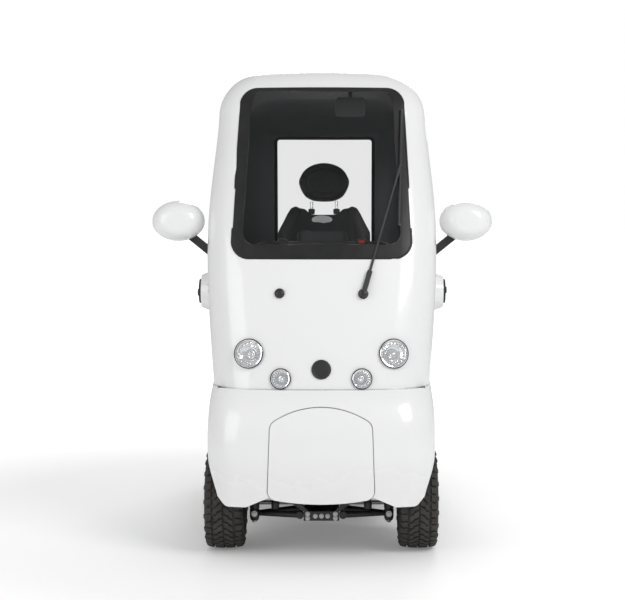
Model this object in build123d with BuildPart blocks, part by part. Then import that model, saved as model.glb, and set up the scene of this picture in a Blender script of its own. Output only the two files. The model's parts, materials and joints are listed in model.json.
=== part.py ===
from build123d import *
from math import cos, radians, sin, sqrt
import os

# Enclosed mobility scooter, in millimetres.
# The origin is on the ground under the middle of the scooter.
# +Z is up, the front faces -Y, and +X is the rider's left-hand side.
os.makedirs("parts", exist_ok=True)

# Ways a shape is set on its location: standing on it, or hanging from it
stand_on = (Align.CENTER, Align.CENTER, Align.MIN)
hang_from = (Align.CENTER, Align.CENTER, Align.MAX)

# Wheels and axles
wheelbase = 1105
front_axle_y = -560
rear_axle_y = front_axle_y + wheelbase
track = 630
tyre_radius = 165
tyre_width = 128
tread_half = 50
bead_radius = 76
rim_half = 50
rim_wall = 6
rim_flange = 10
hub_radius = 28
disc_offset = 14
disc_thickness = 9
stub_radius = 10
shoulder_radius = 20
axle_z = tyre_radius
wheel_x = track / 2
arch_clearance = 23

# Cutting tools reach past the whole body
reach = 1000
half_reach = 450

hub_inner = 48
hub_outer = 30
window_count = 5
window_radius = 11
tread_drop = 5
crown_drop = 0.8
nut_radius = 15
nut_width = 11
nut_sides = 6

# Clearances
bearing_clearance = 0.2
seat_clearance = 0.3
skin_clearance = 0.8
door_gap = 6
panel_gap = 2.5

# Cab walls
wall = 24
door_thickness = 34
glass_depth = 3
glass_thickness = 5
seal_proud = 2
seal_depth = 14
seal_side = 36
seal_bottom = 44
seal_top = 10
seal_rear = 16
liner_margin = 12
liner_thickness = 4
front_bow = 45
rear_bow = 25
roof_base = 1440
roof_top = 1600

# Plan sections of the cab from the sill to the waist and the top of the doors
CAB_ROWS = [
    # z, half_front, half_mid, half_rear, y_front, y_rear, r_front, r_rear
    (240, 340, 372, 355, -690, 806, 150, 110),
    (540, 345, 386, 366, -742, 822, 170, 120),
    (760, 366, 393, 374, -700, 824, 165, 130),
    (956, 380, 396, 380, -642, 808, 150, 140),
    (1200, 372, 391, 375, -545, 776, 135, 150),
    (roof_base, 352, 376, 356, -437, 736, 120, 150),
]
# Where the skin's place is read between rows: which columns, and how many rows at once
half_front_column = 1
y_front_column = 4
near_count = 4
slope_step = 5

# Plan sections of the roof dome, same columns
ROOF_ROWS = [
    (roof_base, 352, 376, 356, -437, 736, 120, 150),
    (1520, 332, 355, 336, -395, 712, 112, 145),
    (1566, 293, 315, 296, -352, 672, 100, 130),
    (1594.5, 240, 258, 240, -300, 618, 88, 110),
    (roof_top, 202, 218, 200, -262, 580, 80, 100),
]
# Plan sections of the nose that carries the two front mudguards
NOSE_ROWS = [
    # z, half_front, half_rear, y_front, corner radius
    (150, 352, 362, -822, 110),
    (300, 362, 372, -825, 120),
    (430, 364, 378, -820, 140),
    (540, 350, 374, -760, 140),
]
nose_top = NOSE_ROWS[-1][0]
nose_top_front = NOSE_ROWS[-1][3]
nose_rear_y = -322
nose_wall = 8
nose_flange = 40
lobe_inner = 236
lobe_outer = 302
lobe_bottom = 178
lobe_side = 336
lobe_side_z = 214
lobe_corner = 24
front_arch_clearance = 40

# Openings in the front view: half widths and heights
screen_bottom = 956
screen_top = 1531
screen_half_bottom = 297
screen_half_top = 276
screen_corner = 56
rear_window_bottom = 930
rear_window_top = 1428
rear_window_half = 214
rear_window_corner = 28
lid_bottom = 470
lid_top = 872
lid_half = 250
lid_corner = 45
hatch_half_bottom = 168
hatch_half_top = 160
hatch_bottom = 206
hatch_shoulder = 440
hatch_top = 491
hatch_belly = 15
hatch_corner = 30
hatch_flange = 12
hatch_proud = 3

# Door and side openings in the side view
door_bottom = 245
door_top = 1425
door_rear_y = 318
door_front_low_y = -316
door_front_knee_z = 560
door_front_mid_y = -420
door_front_mid_z = 820
door_front_top_y = -294
door_corner = 40
window_sill = 990
window_head = 1390
window_frame = 62
window_corner = 45
quarter_front_y = 400
quarter_rear_y = 670
quarter_corner = 60
roof_seam_rear = 1480
roof_seam_step_y = 400
header_top_y = -262
hinge_y = 332
hinge_x = 405
hinge_barrel = 9
hinge_pin = 5
hinge_height = 50
leaf_reach = 30
leaf_length = 34
leaf_thickness = 7
door_hinge_heights = (420, 1180)
lid_hinge_y = 830
lid_barrel = 7
lid_pin = 3.5
lid_hinge_z = 892
lid_hinge_offsets = (-150, 150)
lid_barrel_length = 28
lid_leaf = 30

# Door handle blister
blister_y = -338
blister_z = 834
blister_rim = 14
blister_depth = 60
blister_taper = 22
blister_reach = 416
handle_radius = 42
handle_proud = 5

# Lamps and small fittings on the front panel
headlamp_x = 235
headlamp_z = 655
headlamp_radius = 41
marker_x = 131
marker_z = 576
marker_radius = 27
lamp_depth = 28
lamp_bezel = 4
cap_z = 603
cap_radius = 31.5
nub_x = -134.5
nub_z = 841
nub_radius = 16.5
wiper_x = 135
wiper_z = 841

lamp_proud = 3
lens_depth = 4
cap_height = 7
nub_height = 12
blade_half = 4
blade_height = 16
blade_low_x = 254
blade_low_z = 1062
blade_high_x = 270
blade_high_z = 1450
wiper_arm_half = 8
wiper_arm_thickness = 7
arm_lap = 2
wiper_tip_x = 262
wiper_tip_z = 1262

# Mirrors
mirror_x = 490
mirror_y = -400
mirror_z = 1076
mirror_half = 88.5
mirror_height = 68
mirror_lip = 6
mirror_recess = 4
stalk_foot_x = 370
stalk_foot_z = 962
stalk_head_x = 462
stalk_head_z = 1036
stalk_half = 17
stalk_depth = 26
cabin_mirror_x = 97
cabin_mirror_y = -300
cabin_mirror_z = 1471
cabin_mirror_width = 105
cabin_mirror_height = 70
cabin_mirror_corner = 18
cabin_mirror_depth = 16

# Rear trim
trim_depth = 9
tail_x = 305
tail_z = 640
tail_width = 60
tail_height = 210
tail_corner = 26
bumper_front_y = 745
bumper_bottom = 246
bumper_height = 82

# Chassis
rail_x = 95
rail_width = 40
rail_bottom = 168
rail_top = 208
rail_front_y = -640
rail_rear_y = 740
rail_rise_y = 365
rail_rise_run = 70
rear_rail_top = 392
floor_thickness = 12
floor_top = rail_top + floor_thickness
floor_half = 345
floor_rear_y = 340
sill_lip = 12
mat_half = 290
mat_front_y = -300
mat_rear_y = -15
mat_corner = 20
mat_rise = 2
sill_top = 238
toe_half = 158
toe_front_y = -488
bulkhead_wall = 8
column_slot_depth = 32
bulkhead_half = 335
well_top = 400
dash_bottom = 760

dash_rear_y = -482
dash_lean = 14
dash_hood = 34
dash_top = 945
column_slot_bottom = 312
column_slot_height = 266
column_slot_gap = 12
strut_width = 15
tower_y = -600
tower_top = 404
tower_cap = 14
tower_reach = 132
head_foot = 24
head_length = 62
rear_outrigger_y = rear_axle_y
CROSS_MEMBERS = [
    # y, half_width, top
    (rail_front_y + rail_width / 2, rail_x, rail_top),
    (-545, rail_x, rail_top),
    (-290, 330, rail_top),
    (300, 330, rail_top),
    (rear_outrigger_y, 205, rear_rail_top),
    (rail_rear_y - rail_width / 2, 205, rear_rail_top),
]
battery_half = 150
battery_margin = 20
battery_height = 240
boot_front_y = 344
boot_wall_y = 470
boot_wall_height = 150

# Front suspension and steering
kingpin_x = 222
kingpin_radius = 8
knuckle_radius = 16
knuckle_bottom = 128
knuckle_top = 206
arm_boss_bottom = 98
arm_boss_top = 124
upper_eye_bottom = 209
upper_eye_top = 221
box_half = 58
box_front_y = -645
box_rear_y = -490
box_bottom = 103
box_top = 133
arm_pivot_z = 118
arm_pivot_radius = 12
arm_leg_front_y = -620
arm_leg_rear_y = -512
steer_arm = 100
steer_arm_bottom = 138
steer_arm_thickness = 10
rod_z = 126
rod_radius = 7
rod_eye_radius = 13
rod_eye_bottom = 118
tiller_tilt = 15
tiller_foot_y = -563.5
tiller_foot_z = 145
column_radius = 22
column_length = 862
head_radius = 36
pitman_bottom = 146
pitman_top = 154
loop_height = 870
loop_half = 230
loop_front = -40
loop_rear = 112
loop_corner = 60
loop_radius = 11

arm_pivot_length = 26
arm_leg_radius = 11
arm_tip_radius = 8
upper_link_width = 24
upper_foot = 12
steer_arm_width = 18
pitman_half = 9
collar_radius = 30
collar_height = 14
yoke_half = 26
yoke_thickness = 20
console_half = 92
console_depth = 96
console_corner = 24
console_height = 62
console_taper = 6
axle_tube_radius = 26
gearcase_radius = 66
gearcase_width = 96
motor_radius = 52
motor_length = 190
motor_back = 33
motor_lift = 22
trail_pivot_y = 320
trail_end = 16
trail_width = 14
damper_radius = 13
spring_radius = 22
spring_start = 0.22
spring_end = 0.84
shock_x = 152
front_shock_low = 134
rear_shock_x = 188

# Seat
plinth_half = 190
plinth_front_y = 0
plinth_rear_y = 335
plinth_top = 515
plinth_wall = 6
pan_thickness = 12
pan_half = 205
cushion_half = 225
cushion_front_y = -40
cushion_rear_y = 385
cushion_thickness = 100
cushion_corner = 50
cushion_round = 24
plinth_corner = 20
pan_margin = 20
pan_rear_y = 440
back_frame_half = 90
back_frame_height = 380
back_taper = 14
back_shoulder = 120
back_round = 30
arm_tube_height = 80
arm_tube_radius = 11
arm_tube_half = 244
back_tilt = 8
back_foot_y = 402
back_foot_z = 640
back_height = 500
back_waist = 167
back_half = 204
back_top_half = 133
back_thickness = 84
headrest_half = 106
headrest_height = 168
headrest_gap = 8
headrest_thickness = 76
post_x = 50
post_radius = 6
armrest_x = 268
armrest_z = 830
armrest_length = 290
armrest_width = 54
armrest_height = 40
armrest_plate = 8
armrest_rear_y = 400


def plan_section(z, row, inset):
    """Plan outline of the cab at height z, a given distance inside the outer skin."""
    _, half_front, half_mid, half_rear, y_front, y_rear, r_front, r_rear = row
    y_front = y_front + inset
    y_rear = y_rear - inset
    left_front = (half_front - inset, y_front + front_bow)
    right_front = (inset - half_front, y_front + front_bow)
    left_rear = (half_rear - inset, y_rear - rear_bow)
    right_rear = (inset - half_rear, y_rear - rear_bow)
    y_mid = (y_front + y_rear) / 2
    with BuildSketch(Plane.XY.offset(z)) as outline:
        with BuildLine():
            ThreePointArc(right_front, (0, y_front), left_front)
            ThreePointArc(left_front, (half_mid - inset, y_mid), left_rear)
            ThreePointArc(left_rear, (0, y_rear), right_rear)
            ThreePointArc(right_rear, (inset - half_mid, y_mid), right_front)
        make_face()
        fillet(outline.vertices().group_by(Axis.Y)[0], r_front - inset)
        fillet(outline.vertices().group_by(Axis.Y)[-1], r_rear - inset)
    return outline.sketch


def cab_sections(inset):
    """Sections of the cab body from the sill to the roof base."""
    return [plan_section(row[0], row, inset) for row in CAB_ROWS]


def roof_sections(inset):
    """Sections of the roof dome, lowered so that its crown is as thick as its sides."""
    share = (roof_top - roof_base - inset) / (roof_top - roof_base)
    return [plan_section(roof_base + (row[0] - roof_base) * share, row, inset) for row in ROOF_ROWS]


def nose_section(row, inset):
    """Plan outline of the nose: bowed front, straight sides, flat rear, lowered at its top."""
    z, half_front, half_rear, y_front, corner = row
    y_front = y_front + inset
    if z == nose_top:
        z = z - inset
    with BuildSketch(Plane.XY.offset(z)) as outline:
        with BuildLine():
            front = ThreePointArc(
                (inset - half_front, y_front + front_bow),
                (0, y_front),
                (half_front - inset, y_front + front_bow),
            )
            Polyline(
                front @ 1,
                (half_rear - inset, nose_rear_y),
                (inset - half_rear, nose_rear_y),
                front @ 0,
            )
        make_face()
        fillet(outline.vertices().group_by(Axis.Y)[0], corner - inset)
    return outline.sketch


def nose_sections(inset):
    """Sections of the nose at a distance inside its outer skin."""
    return [nose_section(row, inset) for row in NOSE_ROWS]


def nose_trim():
    """What is cut away below the nose: a raised middle between two mudguard lobes."""
    with BuildSketch(Plane.XZ) as trim:
        with BuildLine():
            Polyline(
                (0, 0),
                (0, hatch_bottom + panel_gap),
                (hatch_half_bottom, hatch_bottom + panel_gap),
                (lobe_inner, lobe_bottom),
                (lobe_outer, lobe_bottom),
                (lobe_side, lobe_side_z),
                (reach, lobe_side_z + reach),
                (reach, 0),
                close=True,
            )
        make_face()
        fillet(trim.vertices().filter_by(lambda v: abs(v.Y - lobe_bottom) < 1), lobe_corner)
        mirror(about=Plane.YZ)
    return trim.sketch


def along_rows(z, column):
    """Value of one column at a height, on the cubic through the four nearest rows."""
    below = sum(row[0] <= z for row in CAB_ROWS)
    start = max(0, min(len(CAB_ROWS) - near_count, below - near_count // 2))
    near = CAB_ROWS[start : start + near_count]
    total = 0
    for row in near:
        share = 1
        for other in near:
            if other is not row:
                share = share * (z - other[0]) / (row[0] - other[0])
        total = total + share * row[column]
    return total


def front_y_at(z, x):
    """Outer skin of the front panel at a height and a place across its width."""
    return along_rows(z, y_front_column) + front_bow * (x / along_rows(z, half_front_column)) ** 2


def screen_outline(inset_side, inset_bottom, inset_top):
    """Rounded outline of the windscreen opening, shrunk by a border, in the front view."""
    low = screen_bottom + inset_bottom
    high = screen_top - inset_top
    with BuildSketch(Plane.XZ) as outline:
        with BuildLine():
            Polyline(
                (inset_side - screen_half_bottom, low),
                (screen_half_bottom - inset_side, low),
                (screen_half_top - inset_side, high),
                (inset_side - screen_half_top, high),
                close=True,
            )
        make_face()
        fillet(outline.vertices(), screen_corner - inset_side / 2)
    return outline.sketch


def rear_window_outline(inset):
    """Rear window opening, shrunk by a border, in the rear view."""
    with BuildSketch(Plane.XZ) as outline:
        with Locations((0, (rear_window_bottom + rear_window_top) / 2)):
            RectangleRounded(2 * rear_window_half, rear_window_top - rear_window_bottom, rear_window_corner)
        offset(amount=-inset)
    return outline.sketch


def lid_outline(grow):
    """Boot lid outline in the rear view, grown by the gap round it."""
    with BuildSketch(Plane.XZ) as outline:
        with Locations((0, (lid_bottom + lid_top) / 2)):
            RectangleRounded(2 * lid_half, lid_top - lid_bottom, lid_corner)
        offset(amount=grow)
    return outline.sketch


def door_outline(grow):
    """Door outline in the side view, grown or shrunk."""
    with BuildSketch(Plane.YZ) as outline:
        with BuildLine():
            Polyline(
                (door_front_low_y, door_bottom),
                (door_front_low_y, door_front_knee_z),
                (door_front_mid_y, door_front_mid_z),
                (door_front_top_y, door_top),
                (door_rear_y, door_top),
                (door_rear_y, door_bottom),
                close=True,
            )
        make_face()
        corners = outline.vertices().group_by(Axis.Z)[-1] + outline.vertices().sort_by(Axis.Y)[:1]
        fillet(corners, door_corner)
        offset(amount=grow, kind=Kind.INTERSECTION)
    return outline.sketch


def door_window_outline(inset):
    """Side window outline, parallel to the door's front edge."""
    slope = (door_front_top_y - door_front_mid_y) / (door_top - door_front_mid_z)
    front_low = door_front_mid_y + slope * (window_sill - door_front_mid_z) + window_frame
    front_high = door_front_mid_y + slope * (window_head - door_front_mid_z) + window_frame
    with BuildSketch(Plane.YZ) as outline:
        with BuildLine():
            Polyline(
                (front_low, window_sill),
                (front_high, window_head),
                (door_rear_y - window_frame, window_head),
                (door_rear_y - window_frame, window_sill),
                close=True,
            )
        make_face()
        fillet(outline.vertices(), window_corner)
        offset(amount=-inset)
    return outline.sketch


def quarter_outline(inset):
    """Rear quarter window outline in the side view."""
    with BuildSketch(Plane.YZ) as outline:
        with BuildLine():
            Polyline(
                (quarter_front_y, window_sill),
                (quarter_front_y, window_head),
                (quarter_rear_y - quarter_corner / 2, window_head),
                (quarter_rear_y, window_sill),
                close=True,
            )
        make_face()
        fillet(outline.vertices(), quarter_corner)
        offset(amount=-inset)
    return outline.sketch


def hatch_outline(grow):
    """Front access panel outline: domed top and a slightly hanging lower edge."""
    with BuildSketch(Plane.XZ) as outline:
        with BuildLine():
            top = ThreePointArc(
                (hatch_half_top, hatch_shoulder),
                (0, hatch_top),
                (-hatch_half_top, hatch_shoulder),
            )
            Line(top @ 1, (-hatch_half_bottom, hatch_bottom))
            ThreePointArc(
                (-hatch_half_bottom, hatch_bottom),
                (0, hatch_bottom - hatch_belly),
                (hatch_half_bottom, hatch_bottom),
            )
            Line((hatch_half_bottom, hatch_bottom), top @ 0)
        make_face()
        fillet(outline.vertices(), hatch_corner)
        offset(amount=grow)
    return outline.sketch



# Solid forms of the cab at each depth that a skin, a pane or a liner needs
with BuildPart() as cab_outer:
    loft(cab_sections(0))
    loft(roof_sections(0))

with BuildPart() as cab_proud:
    loft(cab_sections(-seat_clearance))
    loft(roof_sections(-seat_clearance))

with BuildPart() as cab_frame:
    loft(cab_sections(-seal_proud))
    loft(roof_sections(-seal_proud))

with BuildPart() as cab_inner:
    loft(cab_sections(wall))
    loft(roof_sections(wall))

with BuildPart() as cab_room:
    loft(cab_sections(wall + skin_clearance))
    loft(roof_sections(wall + skin_clearance))

# Layers that stand proud of the skin, for trim and the wiper
with BuildPart() as trim_layer:
    loft(cab_sections(-trim_depth))
    add(cab_proud.part, mode=Mode.SUBTRACT)

with BuildPart() as blade_foot:
    loft(cab_sections(-seal_proud - seat_clearance))
    loft(roof_sections(-seal_proud - seat_clearance))

with BuildPart() as blade_head:
    loft(cab_sections(-blade_height))
    loft(roof_sections(-blade_height))

with BuildPart() as arm_layer:
    loft(cab_sections(-blade_height - wiper_arm_thickness))
    loft(roof_sections(-blade_height - wiper_arm_thickness))
    loft(cab_sections(arm_lap - blade_height), mode=Mode.SUBTRACT)
    loft(roof_sections(arm_lap - blade_height), mode=Mode.SUBTRACT)

# Cab skin with every opening cut, before it is parted into panels
with BuildPart() as cab_skin:
    add(cab_outer.part)
    add(cab_inner.part, mode=Mode.SUBTRACT)
    extrude(door_outline(door_gap), amount=half_reach, both=True, mode=Mode.SUBTRACT)
    extrude(quarter_outline(0), amount=half_reach, both=True, mode=Mode.SUBTRACT)
    extrude(screen_outline(0, 0, 0), amount=reach, mode=Mode.SUBTRACT)
    extrude(rear_window_outline(0), amount=-reach, mode=Mode.SUBTRACT)
    extrude(lid_outline(door_gap), amount=-reach, mode=Mode.SUBTRACT)
    with Locations((0, rear_axle_y, axle_z)):
        Cylinder(tyre_radius + arch_clearance, reach, rotation=(0, 90, 0), mode=Mode.SUBTRACT)


def lamp_plane(x, z, depth):
    """Plane across a lamp, facing along the front panel's own slope."""
    slope_x = (front_y_at(z, x + slope_step) - front_y_at(z, x - slope_step)) / (2 * slope_step)
    slope_z = (front_y_at(z + slope_step, x) - front_y_at(z - slope_step, x)) / (2 * slope_step)
    normal = Vector(slope_x, -1, slope_z).normalized()
    return Plane(origin=Vector(x, front_y_at(z, x), z) - normal * depth, x_dir=(1, 0, 0), z_dir=normal)


LAMPS = [
    # x, z, radius
    (headlamp_x, headlamp_z, headlamp_radius),
    (marker_x, marker_z, marker_radius),
]

with BuildPart() as front_shell:
    with BuildSketch(Plane.YZ):
        with BuildLine():
            Polyline(
                (-reach, nose_top),
                (0, nose_top),
                (0, door_top),
                (door_front_top_y, door_top),
                (header_top_y, roof_top),
                (-reach, roof_top),
                close=True,
            )
        make_face()
    extrude(amount=half_reach, both=True)
    add(cab_skin.part, mode=Mode.INTERSECT)
    for lamp_x, lamp_z, lamp_radius in LAMPS:
        for side in (1, -1):
            with BuildSketch(lamp_plane(side * lamp_x, lamp_z, 0)):
                Circle(lamp_radius + lamp_bezel + seat_clearance)
            extrude(amount=2 * wall, both=True, mode=Mode.SUBTRACT)
    for plug_x, plug_z, plug_radius in (
        (0, cap_z, cap_radius),
        (nub_x, nub_z, nub_radius),
        (wiper_x, wiper_z, nub_radius),
    ):
        with BuildSketch(lamp_plane(plug_x, plug_z, 0)):
            Circle(plug_radius / 2 + seat_clearance)
        extrude(amount=2 * wall, both=True, mode=Mode.SUBTRACT)
front_shell.part.label = "front_shell"
export_step(front_shell.part, "parts/front_shell.step")

with BuildPart() as rear_shell:
    with BuildSketch(Plane.YZ):
        with BuildLine():
            Polyline(
                (0, 0),
                (0, door_top),
                (door_rear_y + door_gap, door_top + door_gap),
                (roof_seam_step_y, roof_seam_rear),
                (reach, roof_seam_rear),
                (reach, 0),
                close=True,
            )
        make_face()
    extrude(amount=half_reach, both=True)
    add(cab_skin.part, mode=Mode.INTERSECT)
rear_shell.part.label = "rear_shell"
export_step(rear_shell.part, "parts/rear_shell.step")

with BuildPart() as roof_shell:
    with BuildSketch(Plane.YZ):
        with BuildLine():
            Polyline(
                (door_front_top_y, door_top),
                (header_top_y, roof_top),
                (header_top_y, roof_top + wall),
                (reach, roof_top + wall),
                (reach, roof_seam_rear),
                (roof_seam_step_y, roof_seam_rear),
                (door_rear_y + door_gap, door_top + door_gap),
                (0, door_top),
                close=True,
            )
        make_face()
    extrude(amount=half_reach, both=True)
    add(cab_skin.part, mode=Mode.INTERSECT)
roof_shell.part.label = "roof_shell"
export_step(roof_shell.part, "parts/roof_shell.step")

# Nose with both front mudguards, a rolled shoulder and an opening for the access panel
with BuildPart() as front_fenders:
    loft(nose_sections(0))
    loft(nose_sections(nose_wall), mode=Mode.SUBTRACT)
    with BuildSketch(Plane.XY.offset(nose_top)):
        with Locations((0, nose_rear_y)):
            Rectangle(
                2 * (bulkhead_half + seat_clearance),
                2 * (nose_rear_y - nose_top_front - 2 * nose_flange),
            )
    extrude(amount=-2 * nose_wall, mode=Mode.SUBTRACT)
    extrude(nose_trim(), amount=reach, mode=Mode.SUBTRACT)
    extrude(hatch_outline(panel_gap), amount=reach, mode=Mode.SUBTRACT)
    with Locations((0, front_axle_y, axle_z)):
        Cylinder(tyre_radius + front_arch_clearance, reach, rotation=(0, 90, 0), mode=Mode.SUBTRACT)
front_fenders.part.label = "front_fenders"
export_step(front_fenders.part, "parts/front_fenders.step")

# Access panel between the mudguards, with a flange that laps behind the nose
with BuildPart() as hatch_lap:
    loft(nose_sections(nose_wall + seat_clearance))
    loft(nose_sections(nose_wall + seat_clearance + hatch_proud), mode=Mode.SUBTRACT)
    extrude(hatch_outline(hatch_flange), amount=reach, mode=Mode.INTERSECT)
    with BuildSketch(Plane.XY.offset(hatch_bottom + hatch_flange)):
        Rectangle(reach, 2 * reach)
    extrude(amount=-hatch_bottom, mode=Mode.SUBTRACT)

with BuildPart() as front_hatch:
    loft(nose_sections(-hatch_proud))
    loft(nose_sections(nose_wall + seat_clearance + hatch_proud), mode=Mode.SUBTRACT)
    extrude(hatch_outline(0), amount=reach, mode=Mode.INTERSECT)
    add(hatch_lap.part)
front_hatch.part.label = "front_hatch"
export_step(front_hatch.part, "parts/front_hatch.step")

# Glass and its rubber frames follow the cab's own surface
with BuildPart() as glass_skin:
    loft(cab_sections(glass_depth))
    loft(roof_sections(glass_depth))
    loft(cab_sections(glass_depth + glass_thickness), mode=Mode.SUBTRACT)
    loft(roof_sections(glass_depth + glass_thickness), mode=Mode.SUBTRACT)

with BuildPart() as windscreen:
    extrude(
        screen_outline(seal_side + seat_clearance, seal_bottom + seat_clearance, seal_top + seat_clearance),
        amount=reach,
    )
    add(glass_skin.part, mode=Mode.INTERSECT)
windscreen.part.label = "windscreen"
export_step(windscreen.part, "parts/windscreen.step")

with BuildPart() as rear_windows:
    extrude(rear_window_outline(seal_rear + seat_clearance), amount=-reach)
    extrude(quarter_outline(seal_rear + seat_clearance), amount=half_reach, both=True)
    add(glass_skin.part, mode=Mode.INTERSECT)
rear_windows.part.label = "rear_windows"
export_step(rear_windows.part, "parts/rear_windows.step")

with BuildPart() as window_seals:
    extrude(screen_outline(seat_clearance, seat_clearance, seat_clearance), amount=reach)
    extrude(screen_outline(seal_side, seal_bottom, seal_top), amount=reach, mode=Mode.SUBTRACT)
    extrude(rear_window_outline(seat_clearance), amount=-reach)
    extrude(rear_window_outline(seal_rear), amount=-reach, mode=Mode.SUBTRACT)
    extrude(quarter_outline(seat_clearance), amount=half_reach, both=True)
    extrude(quarter_outline(seal_rear), amount=half_reach, both=True, mode=Mode.SUBTRACT)
    loft(cab_sections(seal_depth), mode=Mode.SUBTRACT)
    loft(roof_sections(seal_depth), mode=Mode.SUBTRACT)
    add(cab_frame.part, mode=Mode.INTERSECT)
window_seals.part.label = "window_seals"
export_step(window_seals.part, "parts/window_seals.step")

# Dark lining under the roof
with BuildPart() as headliner:
    loft(roof_sections(wall + skin_clearance))
    loft(roof_sections(wall + skin_clearance + liner_thickness), mode=Mode.SUBTRACT)
    extrude(screen_outline(-liner_margin, 0, -liner_margin), amount=reach, mode=Mode.SUBTRACT)
headliner.part.label = "headliner"
export_step(headliner.part, "parts/headliner.step")

# Doors: the skin between the pillars, a cut window, a round handle blister and two hinge leaves
with BuildPart() as door_skin:
    add(cab_outer.part)
    loft(cab_sections(door_thickness), mode=Mode.SUBTRACT)

for side, name in ((1, "left"), (-1, "right")):
    with BuildPart() as door_panel:
        extrude(door_outline(0), amount=side * half_reach)
        add(door_skin.part, mode=Mode.INTERSECT)
        extrude(door_window_outline(0), amount=side * half_reach, mode=Mode.SUBTRACT)
        with BuildSketch(Plane.YZ.offset(side * blister_reach)):
            with Locations((blister_y, blister_z)):
                Circle(handle_radius + blister_rim)
        extrude(amount=-side * blister_depth, taper=-blister_taper)
        for height in door_hinge_heights:
            with Locations((side * hinge_x, hinge_y, height + seat_clearance)):
                Cylinder(hinge_barrel, hinge_height, align=stand_on)
            leaf_middle = (side * (hinge_x - leaf_reach / 2), door_rear_y - leaf_length / 2)
            with Locations((*leaf_middle, height + seat_clearance)):
                Box(leaf_reach, leaf_length, hinge_height, align=stand_on)
            with Locations((side * (hinge_x - leaf_thickness / 2), hinge_y, height + seat_clearance)):
                Box(
                    leaf_thickness,
                    hinge_y - door_rear_y,
                    hinge_height,
                    align=(Align.CENTER, Align.MAX, Align.MIN),
                )
            with Locations((side * hinge_x, hinge_y, height)):
                Cylinder(hinge_pin + bearing_clearance, reach, mode=Mode.SUBTRACT)
    door_panel.part.label = f"door_{name}"
    export_step(door_panel.part, f"parts/door_{name}.step")

    with BuildPart() as door_glass:
        extrude(door_window_outline(seat_clearance), amount=side * half_reach)
        add(glass_skin.part, mode=Mode.INTERSECT)
    door_glass.part.label = f"door_glass_{name}"
    export_step(door_glass.part, f"parts/door_glass_{name}.step")

    with BuildPart() as door_handle:
        with BuildSketch(Plane.YZ.offset(side * (blister_reach + seat_clearance))):
            with Locations((blister_y, blister_z)):
                Circle(handle_radius)
        extrude(amount=side * handle_proud)
        fillet(door_handle.faces().sort_by(Axis.X)[0 if side < 0 else -1].edges(), handle_proud / 2)
    door_handle.part.label = f"door_handle_{name}"
    export_step(door_handle.part, f"parts/door_handle_{name}.step")

# Fixed halves of the door hinges: a barrel with its pin on a pad that sits on the pillar
with BuildPart() as door_hinges:
    for side in (1, -1):
        for height in door_hinge_heights:
            with Locations((side * hinge_x, hinge_y, height)):
                Cylinder(hinge_barrel, hinge_height, align=hang_from)
                Cylinder(hinge_pin, 2 * hinge_height)
            with Locations((side * hinge_x, hinge_y, height)):
                Box(
                    2 * leaf_reach,
                    leaf_length,
                    hinge_height,
                    align=(Align.CENTER, Align.MIN, Align.MAX),
                    mode=Mode.ADD,
                )
            with Locations((side * (hinge_x + leaf_reach / 2 + leaf_thickness / 2), hinge_y, height)):
                Box(
                    leaf_reach,
                    2 * leaf_length,
                    hinge_height,
                    align=(Align.CENTER, Align.MIN, Align.MAX),
                    mode=Mode.SUBTRACT,
                )
    add(cab_proud.part, mode=Mode.SUBTRACT)
door_hinges.part.label = "door_hinges"
export_step(door_hinges.part, "parts/door_hinges.step")

# Boot lid in the rear wall, hinged along its upper edge
with BuildPart() as boot_lid:
    extrude(lid_outline(0), amount=-reach)
    add(cab_outer.part, mode=Mode.INTERSECT)
    loft(cab_sections(wall), mode=Mode.SUBTRACT)
    for offset_x in lid_hinge_offsets:
        with Locations((offset_x, lid_hinge_y, lid_hinge_z)):
            Cylinder(lid_barrel, lid_barrel_length, rotation=(0, 90, 0), align=stand_on)
        with Locations((offset_x, lid_hinge_y, lid_top - lid_leaf)):
            Box(lid_barrel_length, lid_leaf, lid_leaf, align=(Align.MIN, Align.MAX, Align.MIN))
        with Locations((offset_x, lid_hinge_y, lid_top)):
            Box(
                lid_barrel_length,
                leaf_thickness,
                lid_hinge_z - lid_top,
                align=(Align.MIN, Align.MAX, Align.MIN),
            )
        with Locations((offset_x, lid_hinge_y, lid_hinge_z)):
            Cylinder(lid_pin + bearing_clearance, reach, rotation=(0, 90, 0), mode=Mode.SUBTRACT)
boot_lid.part.label = "boot_lid"
export_step(boot_lid.part, "parts/boot_lid.step")

with BuildPart() as lid_hinges:
    for offset_x in lid_hinge_offsets:
        with Locations((offset_x - seat_clearance, lid_hinge_y, lid_hinge_z)):
            Cylinder(lid_barrel, lid_barrel_length, rotation=(0, 90, 0), align=hang_from)
            Box(lid_barrel_length, 2 * lid_leaf, lid_leaf, align=(Align.MAX, Align.MAX, Align.MIN))
        with Locations((offset_x - seat_clearance, lid_hinge_y, lid_hinge_z)):
            Cylinder(lid_pin, 2 * lid_barrel_length, rotation=(0, 90, 0))
    add(cab_proud.part, mode=Mode.SUBTRACT)
lid_hinges.part.label = "lid_hinges"
export_step(lid_hinges.part, "parts/lid_hinges.step")

# Dashboard across the cab behind the windscreen
with BuildPart() as dashboard:
    with BuildSketch(Plane.YZ):
        with BuildLine():
            Polyline(
                (-reach, dash_bottom),
                (dash_rear_y, dash_bottom),
                (dash_rear_y + dash_lean, dash_top - dash_hood),
                (dash_rear_y - dash_hood, dash_top),
                (-reach, dash_top),
                close=True,
            )
        make_face()
    extrude(amount=half_reach, both=True)
    add(cab_room.part, mode=Mode.INTERSECT)
dashboard.part.label = "dashboard"
export_step(dashboard.part, "parts/dashboard.step")

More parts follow.
